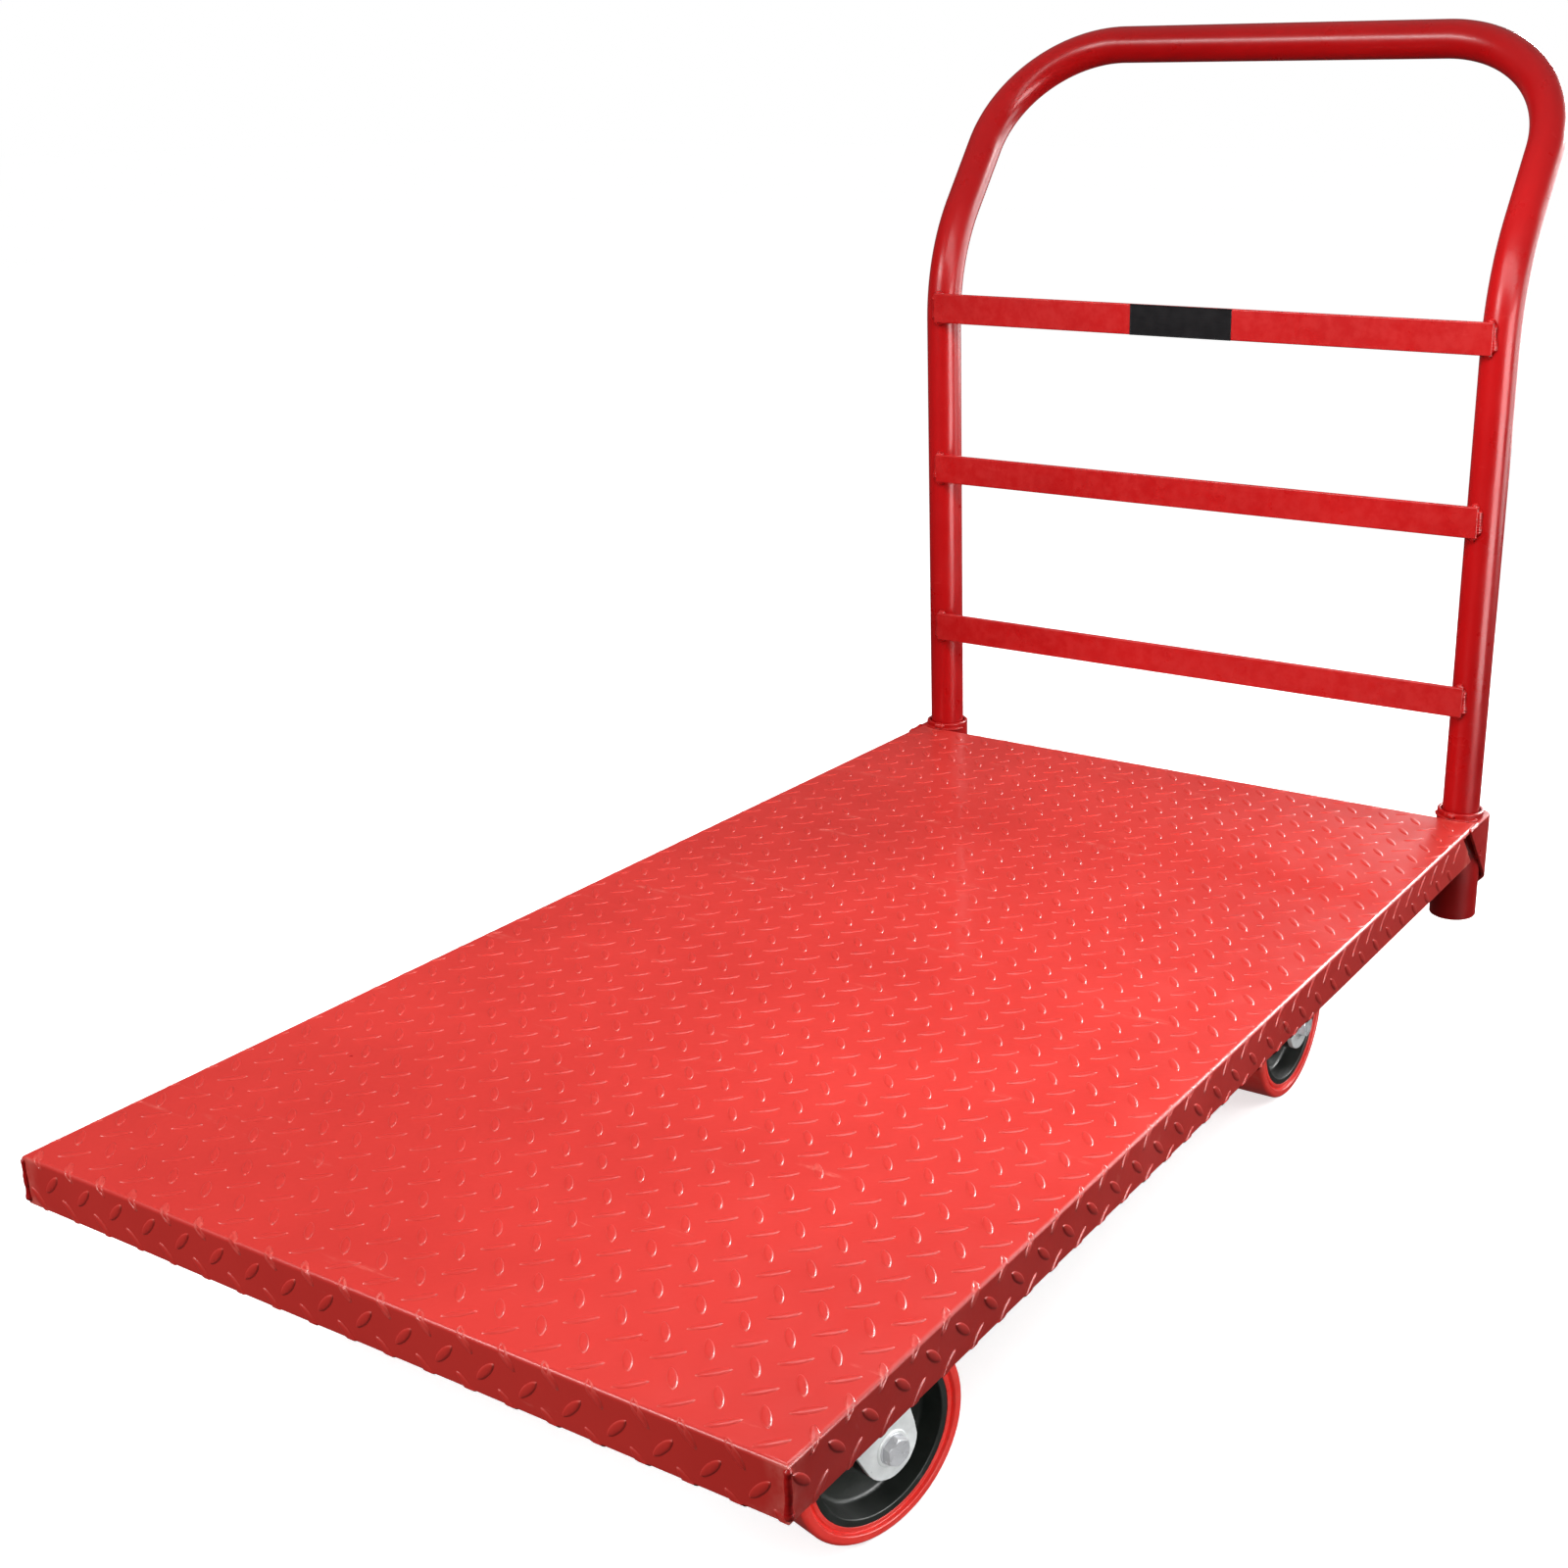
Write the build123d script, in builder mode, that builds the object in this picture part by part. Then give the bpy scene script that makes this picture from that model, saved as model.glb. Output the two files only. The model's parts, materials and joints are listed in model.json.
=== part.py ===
"""Flatbed platform truck: folded deck, lift-out tube handle, two swivel and two rigid casters.

Millimetres. +Z is up, the handle stands at the +Y end, and the load end is at -Y.
The origin is on the floor, under the centre of the truck's overall box.
"""
from build123d import *
from math import cos, radians, sin
import os

# ---------------------------------------------------------------- driving sizes
# deck
deck_width = 685.8            # 27 in
deck_length = 1219.2          # 48 in
sheet = 3.2                   # tread plate, without its pattern
flange_depth = 40.0           # from the deck's top face to the flange's lower edge
edge_radius = 3.0             # outside of the folded edges
channel_depth = 31.0          # cross channels, from caster plate to deck sheet
channel_sheet = 3.0
caster_channel_width = 124.0
middle_channel_width = 60.0

# handle
tube_od = 38.1                # 1.5 in tube
tube_wall = 2.0
tube_setback = 20.2           # leg's centre line behind the deck's rear edge
bend_height = 543.6           # above the deck: where the leg's line meets the leaning line
bend_radius = 197.0
lean_angle = 38.15            # of the upper part, away from the deck
lean_length = 281.2           # along the slope, from the bend's corner to the top bar
corner_radius = 133.5

# slats across the handle
slat_height = 31.75
slat_sheet = 4.8
slat_end = 1.0                # slat's end, short of the leg's centre line
slat_corner = 2.0
slat_levels = {"lower": 127.0, "middle": 312.7, "upper": 491.0}   # centres, above the deck
badge_width = 116.0
badge_sheet = 0.8
badge_offset = -14.0          # of its centre, from the middle of the slat

# sockets that hold the handle
socket_wall = 3.7
socket_play = 1.4             # radial, leg in socket
socket_rise = 7.0             # rim above the deck
socket_drop = 112.0           # lower end below the deck's top face
stop_height = 5.0             # ring in the socket's lower end, which carries the leg
stop_bore = 24.0
notch_gap = 0.3               # deck cut-out round each socket
gusset_sheet = 3.0
gusset_inset = 0.75           # its inner face, in from the deck's side
gusset_reach = 24.0           # how far the gusset runs forward along the deck's side
gusset_drop = 86.0            # of its rear leaf, below the deck's top face
gusset_toe = 4.0              # depth of its side leaf at the front end
gusset_heel = 66.0            # depth of its side leaf at the rear end
gusset_foot = 12.0            # where the full depth starts, behind the leg's centre line
slot_width = 20.0             # open slot between side flange and gusset, along the deck
slot_slant = 36.0             # how much further back the flange's end lies at its lower edge

# casters
wheel_radius = 76.2           # 6 in
wheel_width = 50.8            # 2 in
wheel_headroom = 14.1         # tread to the swivel fork's crown
plate_width = 101.6
plate_length = 114.3
plate_sheet = 6.0
plate_corner = 8.0
bolt_spacing_x = 66.7         # 2 5/8 in
bolt_spacing_y = 92.1         # 3 5/8 in
bolt_d = 9.5
bolt_hex = 14.3               # across flats
bolt_head = 6.4
bolt_nut = 8.3
bolt_tail = 2.0               # thread that stands past the nut
bolt_hole_gap = 0.5           # radial
front_caster_inset = 110.9    # plate's centre in from the deck's side
front_caster_setback = 174.6  # and from the deck's load end
rear_caster_inset = 117.9
rear_caster_setback = 250.6   # from the deck's handle end
front_right_yaw = -14.2       # the front right caster stands turned
swivel_trail = 41.0

# fork
hub_play = 0.7                # hub to each leg
leg_sheet = 5.0
leg_foot_radius = 24.0
swivel_crown_front = 36.0     # crown's reach ahead of the swivel axis
swivel_crown_rear = 40.0      # and behind it
rigid_crown_half = 37.0
race_height = 13.0            # top plate to fork crown
race_inner = 20.0
race_outer = 38.0
race_split = 1.0              # gap between the two races
ball_circle = 29.0
ball_d = 9.0
ball_count = 18
kingpin_d = 14.0
king_washer = 2.5
king_washer_lip = 2.0         # washer's edge past the nut's flats
king_nut_hex = 22.0
king_nut_height = 8.0

# axle and wheel
axle_d = 12.7
axle_hex = 19.0
axle_head = 8.0
axle_nut = 10.0
axle_tail = 3.0
sleeve_wall = 3.2
roller_d = 7.0
roller_length = 44.0
roller_count = 9
hub_radius = 25.0
hub_proud = 2.4               # hub past each face of the tread
core_web = 12.0
core_radius = 62.5            # core to tread joint
core_rim_inner = 54.0         # at the core's waist
core_mouth_inner = 58.0       # at the core's faces
core_sink = 1.9               # core's face inside the tread's face
shoulder_radius = 6.0
tread_lip_depth = 2.0
tread_lip_radius = 68.0

# fits
running_fit = 0.05            # radial, shafts in holes
slip = 0.3                    # between pieces of different bodies

# ---------------------------------------------------------------- worked out
crown_top = 2 * wheel_radius + wheel_headroom + leg_sheet
plate_bottom = crown_top + race_height
caster_height = plate_bottom + plate_sheet    # floor to the top plate's upper face
deck_top = caster_height + channel_depth + sheet
lean_back = lean_length * sin(radians(lean_angle))
lean_up = lean_length * cos(radians(lean_angle))
rear_tail = tube_setback + lean_back + tube_od / 2
deck_y = -rear_tail / 2                       # puts the whole truck's box about the origin
rear_edge = deck_y + deck_length / 2
front_edge = deck_y - deck_length / 2
socket_od = tube_od + 2 * socket_play + 2 * socket_wall
gusset_inner_x = deck_width / 2 - gusset_inset
tube_x = gusset_inner_x - socket_od / 2       # the socket stands against the gusset
tube_y = rear_edge + tube_setback
tube_front = tube_y - tube_od / 2
slat_length = 2 * (tube_x - slat_end)
bend_z = deck_top + bend_height
top_bar_y = tube_y + lean_back
top_bar_z = bend_z + lean_up
socket_bottom = deck_top - socket_drop
socket_top = deck_top + socket_rise
leg_bottom = socket_bottom + stop_height + slip
gusset_front = rear_edge - gusset_reach
gusset_back = tube_y + socket_od / 2
front_caster_x = deck_width / 2 - front_caster_inset
front_caster_y = front_edge + front_caster_setback
rear_caster_x = deck_width / 2 - rear_caster_inset
rear_caster_y = rear_edge - rear_caster_setback
middle_channel_y = (front_caster_y + rear_caster_y) / 2
core_width = wheel_width - 2 * core_sink
hub_length = wheel_width + 2 * hub_proud
fork_gap = hub_length + 2 * hub_play
race_middle = crown_top + race_height / 2
sleeve_od = axle_d + 2 * running_fit + 2 * sleeve_wall
hub_bore_radius = sleeve_od / 2 + roller_d + 2 * running_fit
leg_outer = fork_gap / 2 + leg_sheet

SIDES = {"left": -1, "right": 1}


class Caster:
    """Where one caster stands: its plate's centre, its turn, its trail and its outer side."""

    def __init__(self, name, x, y, side, yaw, trail):
        self.name, self.x, self.y, self.side = name, x, y, side
        self.axle_way = Vector(cos(radians(yaw)), sin(radians(yaw)), 0)
        self.roll_way = Vector(-sin(radians(yaw)), cos(radians(yaw)), 0)
        self.wheel = Vector(self.x, self.y, wheel_radius) + self.roll_way * trail
        self.trail = trail

    def plate_level(self, height):
        """Level plane on the plate's centre, in line with the deck."""
        return Plane(origin=(self.x, self.y, height), x_dir=(1, 0, 0), z_dir=(0, 0, 1))

    def fork_level(self, height):
        """Level plane on the plate's centre, turned with the fork: x along the axle."""
        return Plane(origin=(self.x, self.y, height), x_dir=self.axle_way, z_dir=(0, 0, 1))

    def axle_plane(self, along=0.0):
        """Upright plane across the axle: x along the roll direction, y up, z along the axle."""
        return Plane(origin=self.wheel + self.axle_way * along, x_dir=self.roll_way, z_dir=self.axle_way)

    def profile_plane(self):
        """Plane through the axle: x outward from the axle, y along it."""
        return Plane(origin=self.wheel, x_dir=self.roll_way, z_dir=self.roll_way.cross(self.axle_way))

    def axle_line(self):
        return Axis(self.wheel, self.axle_way)


SWIVEL = [
    Caster("front_left", -front_caster_x, front_caster_y, -1, 0.0, swivel_trail),
    Caster("front_right", front_caster_x, front_caster_y, 1, front_right_yaw, swivel_trail),
]
RIGID = [
    Caster("rear_left", -rear_caster_x, rear_caster_y, -1, 0.0, 0.0),
    Caster("rear_right", rear_caster_x, rear_caster_y, 1, 0.0, 0.0),
]
CASTERS = SWIVEL + RIGID

os.makedirs("parts", exist_ok=True)


def save(part, name):
    part.label = name
    export_step(part, f"parts/{name}.step")


# ---------------------------------------------------------------- deck
def make_deck():
    """Tray folded from one sheet, cut back round the sockets at its two rear corners."""
    inner_width = deck_width - 2 * sheet
    inner_length = deck_length - 2 * sheet
    with BuildPart() as deck:
        with BuildSketch(Plane(origin=(0, deck_y, deck_top))):
            Rectangle(deck_width, deck_length)
        extrude(amount=-flange_depth)
        fold = deck.faces().sort_by(Axis.Z)[-1].edges()
        fillet(fold, edge_radius)
        with BuildSketch(Plane(origin=(0, deck_y, deck_top - sheet))):
            Rectangle(inner_width, inner_length)
        extrude(amount=-flange_depth, mode=Mode.SUBTRACT)
        slot_front = gusset_front - slot_width
        corner_inner = tube_x - socket_od / 2 - notch_gap
        for side in SIDES.values():
            corner_origin = (side * corner_inner, 0, deck_top)
            with BuildSketch(Plane(origin=corner_origin, x_dir=(0, 1, 0), z_dir=(1, 0, 0))):
                with BuildLine():
                    Polyline(
                        (slot_front, -sheet),
                        (rear_edge, -sheet),
                        (rear_edge, -flange_depth),
                        (slot_front + slot_slant, -flange_depth),
                        close=True,
                    )
                make_face()
            extrude(amount=side * deck_width, mode=Mode.SUBTRACT)
        with BuildSketch(Plane(origin=(0, 0, deck_top))):
            for side in SIDES.values():
                with Locations((side * tube_x, tube_y)):
                    Circle(socket_od / 2 + notch_gap)
                with Locations((side * (gusset_inner_x + deck_width / 2), rear_edge)):
                    Rectangle(deck_width, 2 * gusset_reach)
        extrude(amount=-flange_depth, mode=Mode.SUBTRACT)
    return deck.part


def make_channel(centre_y, width, bolted):
    """Channel across the deck's underside: web down, its two walls up to the sheet."""
    length = deck_width - 2 * sheet
    with BuildPart() as channel:
        with BuildSketch(Plane(origin=(0, centre_y, caster_height))):
            Rectangle(length, width)
        extrude(amount=channel_depth)
        with BuildSketch(Plane(origin=(0, centre_y, caster_height + channel_sheet))):
            Rectangle(length, width - 2 * channel_sheet)
        extrude(amount=channel_depth, mode=Mode.SUBTRACT)
        for caster in bolted:
            with BuildSketch(caster.plate_level(caster_height)):
                with GridLocations(bolt_spacing_x, bolt_spacing_y, 2, 2):
                    Circle(bolt_d / 2 + bolt_hole_gap)
            extrude(amount=channel_sheet, mode=Mode.SUBTRACT)
    return channel.part


# ---------------------------------------------------------------- sockets
def make_socket(side):
    with BuildPart() as socket:
        with BuildSketch(Plane(origin=(side * tube_x, tube_y, socket_bottom))):
            Circle(socket_od / 2)
            Circle(socket_od / 2 - socket_wall, mode=Mode.SUBTRACT)
        extrude(amount=socket_top - socket_bottom)
    return socket.part


def make_stop_ring(side):
    """Ring welded in the socket's lower end: the handle's leg stands on it."""
    with BuildPart() as ring:
        with BuildSketch(Plane(origin=(side * tube_x, tube_y, socket_bottom))):
            Circle(socket_od / 2 - socket_wall)
            Circle(stop_bore / 2, mode=Mode.SUBTRACT)
        extrude(amount=stop_height)
    return ring.part


def make_gusset(side):
    """Folded corner plate: a three-cornered leaf beside the socket, one behind it, one round its rim."""
    outer_x = gusset_inner_x + gusset_sheet
    back = gusset_back + gusset_sheet
    side_origin = (side * gusset_inner_x, 0, deck_top)
    rear_origin = (side * (tube_x + outer_x) / 2, gusset_back + gusset_sheet / 2, deck_top)
    with BuildPart() as gusset:
        with BuildSketch(Plane(origin=side_origin, x_dir=(0, 1, 0), z_dir=(1, 0, 0))):
            with BuildLine():
                Polyline(
                    (gusset_front, 0),
                    (back, 0),
                    (back, -gusset_heel),
                    (tube_y + gusset_foot, -gusset_heel),
                    (gusset_front, -gusset_toe),
                    close=True,
                )
            make_face()
        extrude(amount=side * gusset_sheet)
        with BuildSketch(Plane(origin=rear_origin)):
            Rectangle(outer_x - tube_x, gusset_sheet)
        extrude(amount=-gusset_drop)
        with BuildSketch(Plane(origin=(0, 0, deck_top))):
            with Locations((side * (tube_x + outer_x) / 2, (rear_edge + back) / 2)):
                Rectangle(outer_x - tube_x, back - rear_edge)
            with Locations((side * tube_x, tube_y)):
                Circle(socket_od / 2, mode=Mode.SUBTRACT)
        extrude(amount=-gusset_sheet)
    return gusset.part


# ---------------------------------------------------------------- handle
def make_handle():
    """One tube: two upright legs that lean back above the upper slat and meet in the top bar."""
    with BuildPart() as handle:
        with BuildLine() as route:
            FilletPolyline(
                (-tube_x, tube_y, leg_bottom),
                (-tube_x, tube_y, bend_z),
                (-tube_x, top_bar_y, top_bar_z),
                (tube_x, top_bar_y, top_bar_z),
                (tube_x, tube_y, bend_z),
                (tube_x, tube_y, leg_bottom),
                radius=[bend_radius, corner_radius, corner_radius, bend_radius],
            )
        with BuildSketch(Plane(origin=(-tube_x, tube_y, leg_bottom))):
            Circle(tube_od / 2)
            Circle(tube_od / 2 - tube_wall, mode=Mode.SUBTRACT)
        sweep(path=route.wire())
    return handle.part


def make_slat(level):
    """Flat bar across the legs' front, its back face against both tubes."""
    back_origin = (0, tube_front, deck_top + level)
    with BuildPart() as slat:
        with BuildSketch(Plane(origin=back_origin, x_dir=(1, 0, 0), z_dir=(0, -1, 0))):
            RectangleRounded(slat_length, slat_height, slat_corner)
        extrude(amount=slat_sheet)
    return slat.part


def make_badge():
    """Plain plate on the upper slat's front."""
    face_origin = (badge_offset, tube_front - slat_sheet, deck_top + slat_levels["upper"])
    with BuildPart() as badge:
        with BuildSketch(Plane(origin=face_origin, x_dir=(1, 0, 0), z_dir=(0, -1, 0))):
            Rectangle(badge_width, slat_height)
        extrude(amount=badge_sheet)
    return badge.part


# ---------------------------------------------------------------- casters
def make_top_plate(caster, raced):
    """Bolted plate; on a swivel caster the upper race stands on its underside."""
    with BuildPart() as plate:
        with BuildSketch(caster.plate_level(caster_height)):
            RectangleRounded(plate_width, plate_length, plate_corner)
            with GridLocations(bolt_spacing_x, bolt_spacing_y, 2, 2):
                Circle(bolt_d / 2 + bolt_hole_gap, mode=Mode.SUBTRACT)
            if raced:
                Circle(kingpin_d / 2 + running_fit, mode=Mode.SUBTRACT)
        extrude(amount=-plate_sheet)
        if raced:
            with BuildSketch(caster.plate_level(plate_bottom)):
                Circle(race_outer)
                Circle(race_inner, mode=Mode.SUBTRACT)
            extrude(amount=-(race_height - race_split) / 2)
            with Locations(caster.plate_level(race_middle)):
                Torus(ball_circle, ball_d / 2 + running_fit, mode=Mode.SUBTRACT)
    return plate.part


def make_lower_race(caster):
    with BuildPart() as race:
        with BuildSketch(caster.fork_level(crown_top)):
            Circle(race_outer)
            Circle(race_inner, mode=Mode.SUBTRACT)
        extrude(amount=(race_height - race_split) / 2)
        with Locations(caster.fork_level(race_middle)):
            Torus(ball_circle, ball_d / 2 + running_fit, mode=Mode.SUBTRACT)
    return race.part


def make_race_balls(caster):
    with BuildPart(caster.fork_level(race_middle)) as balls:
        with PolarLocations(ball_circle, ball_count):
            Sphere(ball_d / 2)
    return balls.part


def make_kingpin(caster):
    """Pin through top plate and fork crown, with the washer that holds the fork up."""
    washer_top = crown_top - leg_sheet - slip
    end = washer_top - king_washer - king_nut_height - slip
    with BuildPart() as pin:
        with BuildSketch(caster.plate_level(caster_height)):
            Circle(kingpin_d / 2)
        extrude(amount=-(caster_height - end))
        with BuildSketch(caster.plate_level(washer_top)):
            Circle(king_nut_hex / 2 + king_washer_lip)
        extrude(amount=-king_washer)
    return pin.part


def make_king_nut(caster):
    top = crown_top - leg_sheet - slip - king_washer
    with BuildPart() as nut:
        with BuildSketch(caster.plate_level(top)):
            RegularPolygon(king_nut_hex / 2, 6, major_radius=False)
            Circle(kingpin_d / 2 + running_fit, mode=Mode.SUBTRACT)
        extrude(amount=-king_nut_height)
    return nut.part


def make_fork(caster, crown_level, crown_front, crown_rear, pinned):
    """Pressed yoke: a level crown and two legs that narrow to round feet at the axle."""
    crown_middle = (crown_rear - crown_front) / 2
    crown_length = crown_front + crown_rear
    rise = crown_level - wheel_radius
    with BuildPart() as fork:
        for start in (-leg_outer, fork_gap / 2):
            with BuildSketch(caster.axle_plane(start)) as leg:
                Circle(leg_foot_radius)
                with Locations((crown_middle - caster.trail, rise - leg_sheet / 2)):
                    Rectangle(crown_length, leg_sheet)
                make_hull()
            extrude(amount=leg_sheet)
        with BuildSketch(caster.fork_level(crown_level)):
            with Locations((0, crown_middle)):
                Rectangle(2 * leg_outer, crown_length)
        extrude(amount=-leg_sheet)
        fold = fork.faces().sort_by(Axis.Z)[-1].edges().filter_by(Axis((0, 0, 0), caster.roll_way))
        fillet(fold, edge_radius)
        if pinned:
            with BuildSketch(caster.fork_level(crown_level)):
                Circle(kingpin_d / 2 + running_fit)
            extrude(amount=-leg_sheet, mode=Mode.SUBTRACT)
        with BuildSketch(caster.axle_plane(-leg_outer)):
            Circle(axle_d / 2 + running_fit)
        extrude(amount=2 * leg_outer, mode=Mode.SUBTRACT)
    return fork.part


def make_axle_bolt(caster):
    """Bolt through both legs, its head on the truck's outer side."""
    side = caster.side
    with BuildPart() as bolt:
        with BuildSketch(caster.axle_plane(side * leg_outer)):
            RegularPolygon(axle_hex / 2, 6, major_radius=False)
        extrude(amount=side * axle_head)
        with BuildSketch(caster.axle_plane(side * leg_outer)):
            Circle(axle_d / 2)
        extrude(amount=-side * (2 * leg_outer + axle_nut + axle_tail))
    return bolt.part


def make_axle_nut(caster):
    side = caster.side
    with BuildPart() as nut:
        with BuildSketch(caster.axle_plane(-side * leg_outer)):
            RegularPolygon(axle_hex / 2, 6, major_radius=False)
            Circle(axle_d / 2 + running_fit, mode=Mode.SUBTRACT)
        extrude(amount=-side * axle_nut)
    return nut.part


def make_axle_sleeve(caster):
    """Hard sleeve clamped between the legs: the rollers run on it."""
    with BuildPart() as sleeve:
        with BuildSketch(caster.axle_plane(-fork_gap / 2)):
            Circle(sleeve_od / 2)
            Circle(axle_d / 2 + running_fit, mode=Mode.SUBTRACT)
        extrude(amount=fork_gap)
    return sleeve.part


def make_rollers(caster):
    ring_radius = sleeve_od / 2 + running_fit + roller_d / 2
    with BuildPart() as rollers:
        with BuildSketch(caster.axle_plane(-roller_length / 2)):
            with PolarLocations(ring_radius, roller_count):
                Circle(roller_d / 2)
        extrude(amount=roller_length)
    return rollers.part


def make_core(caster):
    """Dished wheel centre: hub, thin web and a rim whose inside flares to each face."""
    half_web = core_web / 2
    half_width = core_width / 2
    half_hub = hub_length / 2
    with BuildPart() as core:
        with BuildSketch(caster.profile_plane()):
            with BuildLine():
                Polyline(
                    (hub_bore_radius, -half_hub),
                    (hub_radius, -half_hub),
                    (hub_radius, -half_web),
                    (core_rim_inner, -half_web),
                    (core_mouth_inner, -half_width),
                    (core_radius, -half_width),
                    (core_radius, half_width),
                    (core_mouth_inner, half_width),
                    (core_rim_inner, half_web),
                    (hub_radius, half_web),
                    (hub_radius, half_hub),
                    (hub_bore_radius, half_hub),
                    close=True,
                )
            make_face()
        revolve(axis=caster.axle_line())
    return core.part


def make_tread(caster):
    """Moulded tyre ring: round shoulders, and a lip that steps down to the core."""
    half = wheel_width / 2
    lip = half - tread_lip_depth
    with BuildPart() as tread:
        with BuildSketch(caster.profile_plane()) as profile:
            with BuildLine():
                Polyline(
                    (core_radius, -lip),
                    (tread_lip_radius, -lip),
                    (tread_lip_radius, -half),
                    (wheel_radius, -half),
                    (wheel_radius, half),
                    (tread_lip_radius, half),
                    (tread_lip_radius, lip),
                    (core_radius, lip),
                    close=True,
                )
            make_face()
            fillet(profile.vertices().group_by(Axis.X)[-1], shoulder_radius)
        revolve(axis=caster.axle_line())
    return tread.part


def make_plate_bolts():
    with BuildPart() as bolts:
        for caster in CASTERS:
            with BuildSketch(caster.plate_level(plate_bottom)):
                with GridLocations(bolt_spacing_x, bolt_spacing_y, 2, 2):
                    RegularPolygon(bolt_hex / 2, 6, major_radius=False)
            extrude(amount=-bolt_head)
            with BuildSketch(caster.plate_level(plate_bottom)):
                with GridLocations(bolt_spacing_x, bolt_spacing_y, 2, 2):
                    Circle(bolt_d / 2)
            extrude(amount=plate_sheet + channel_sheet + bolt_nut + bolt_tail)
    return bolts.part


def make_plate_nuts():
    with BuildPart() as nuts:
        for caster in CASTERS:
            with BuildSketch(caster.plate_level(caster_height + channel_sheet)):
                with GridLocations(bolt_spacing_x, bolt_spacing_y, 2, 2):
                    RegularPolygon(bolt_hex / 2, 6, major_radius=False)
                    Circle(bolt_d / 2 + running_fit, mode=Mode.SUBTRACT)
            extrude(amount=bolt_nut)
    return nuts.part


# ---------------------------------------------------------------- the whole truck
save(make_deck(), "deck_plate")
save(make_channel(front_caster_y, caster_channel_width, SWIVEL), "front_cross_channel")
save(make_channel(middle_channel_y, middle_channel_width, []), "middle_cross_channel")
save(make_channel(rear_caster_y, caster_channel_width, RIGID), "rear_cross_channel")

for side_name, side_sign in SIDES.items():
    save(make_socket(side_sign), f"{side_name}_handle_socket")
    save(make_stop_ring(side_sign), f"{side_name}_socket_stop_ring")
    save(make_gusset(side_sign), f"{side_name}_corner_gusset")

save(make_handle(), "handle_tube")
for slat_name, slat_level in slat_levels.items():
    save(make_slat(slat_level), f"{slat_name}_slat")
save(make_badge(), "name_plate")

for one in CASTERS:
    swivels = one in SWIVEL
    save(make_top_plate(one, swivels), f"{one.name}_top_plate")
    if swivels:
        save(make_lower_race(one), f"{one.name}_lower_race")
        save(make_race_balls(one), f"{one.name}_race_balls")
        save(make_kingpin(one), f"{one.name}_kingpin")
        save(make_king_nut(one), f"{one.name}_king_nut")
        save(make_fork(one, crown_top, swivel_crown_front, swivel_crown_rear, True), f"{one.name}_fork")
    else:
        save(make_fork(one, plate_bottom, rigid_crown_half, rigid_crown_half, False), f"{one.name}_fork")
    save(make_axle_bolt(one), f"{one.name}_axle_bolt")
    save(make_axle_nut(one), f"{one.name}_axle_nut")
    save(make_axle_sleeve(one), f"{one.name}_axle_sleeve")
    save(make_rollers(one), f"{one.name}_hub_rollers")
    save(make_core(one), f"{one.name}_wheel_core")
    save(make_tread(one), f"{one.name}_tread")

save(make_plate_bolts(), "caster_plate_bolts")
save(make_plate_nuts(), "caster_plate_nuts")
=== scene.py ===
"""Looks of the flatbed platform truck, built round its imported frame. Metres, in the frame's axes."""
import json
from math import asin, ceil, copysign, cos, exp, pi, radians, sin, tan

import bmesh
import bpy
from mathutils import Matrix, Vector, noise

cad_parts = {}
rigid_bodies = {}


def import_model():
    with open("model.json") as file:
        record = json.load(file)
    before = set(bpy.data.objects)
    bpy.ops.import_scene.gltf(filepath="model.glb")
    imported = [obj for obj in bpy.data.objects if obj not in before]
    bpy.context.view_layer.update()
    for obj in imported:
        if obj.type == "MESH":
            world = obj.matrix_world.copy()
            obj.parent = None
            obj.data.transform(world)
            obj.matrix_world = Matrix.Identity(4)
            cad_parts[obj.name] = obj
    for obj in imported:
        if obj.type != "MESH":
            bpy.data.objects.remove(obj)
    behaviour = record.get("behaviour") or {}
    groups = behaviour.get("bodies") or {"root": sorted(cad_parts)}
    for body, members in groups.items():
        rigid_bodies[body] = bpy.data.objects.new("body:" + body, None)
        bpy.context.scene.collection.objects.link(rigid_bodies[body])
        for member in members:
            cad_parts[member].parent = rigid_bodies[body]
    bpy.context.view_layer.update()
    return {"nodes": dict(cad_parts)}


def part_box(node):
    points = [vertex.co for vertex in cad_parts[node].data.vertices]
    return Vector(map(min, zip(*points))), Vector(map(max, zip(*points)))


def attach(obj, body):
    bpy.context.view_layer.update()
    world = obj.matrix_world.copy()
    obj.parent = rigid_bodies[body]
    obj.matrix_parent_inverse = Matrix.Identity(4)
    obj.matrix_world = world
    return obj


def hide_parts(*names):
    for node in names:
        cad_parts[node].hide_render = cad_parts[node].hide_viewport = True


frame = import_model()
bpy.context.scene.view_settings.view_transform = "Standard"

MM = 0.001
UP = Vector((0, 0, 1))
ALONG = Vector((0, 1, 0))
ACROSS = Vector((1, 0, 0))
LEFT, RIGHT = -1, 1


def show(thing):
    bpy.context.scene.collection.objects.link(thing)


def angles(count):
    """Equal steps round a full turn."""
    return [2 * pi * k / count for k in range(count)]


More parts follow.
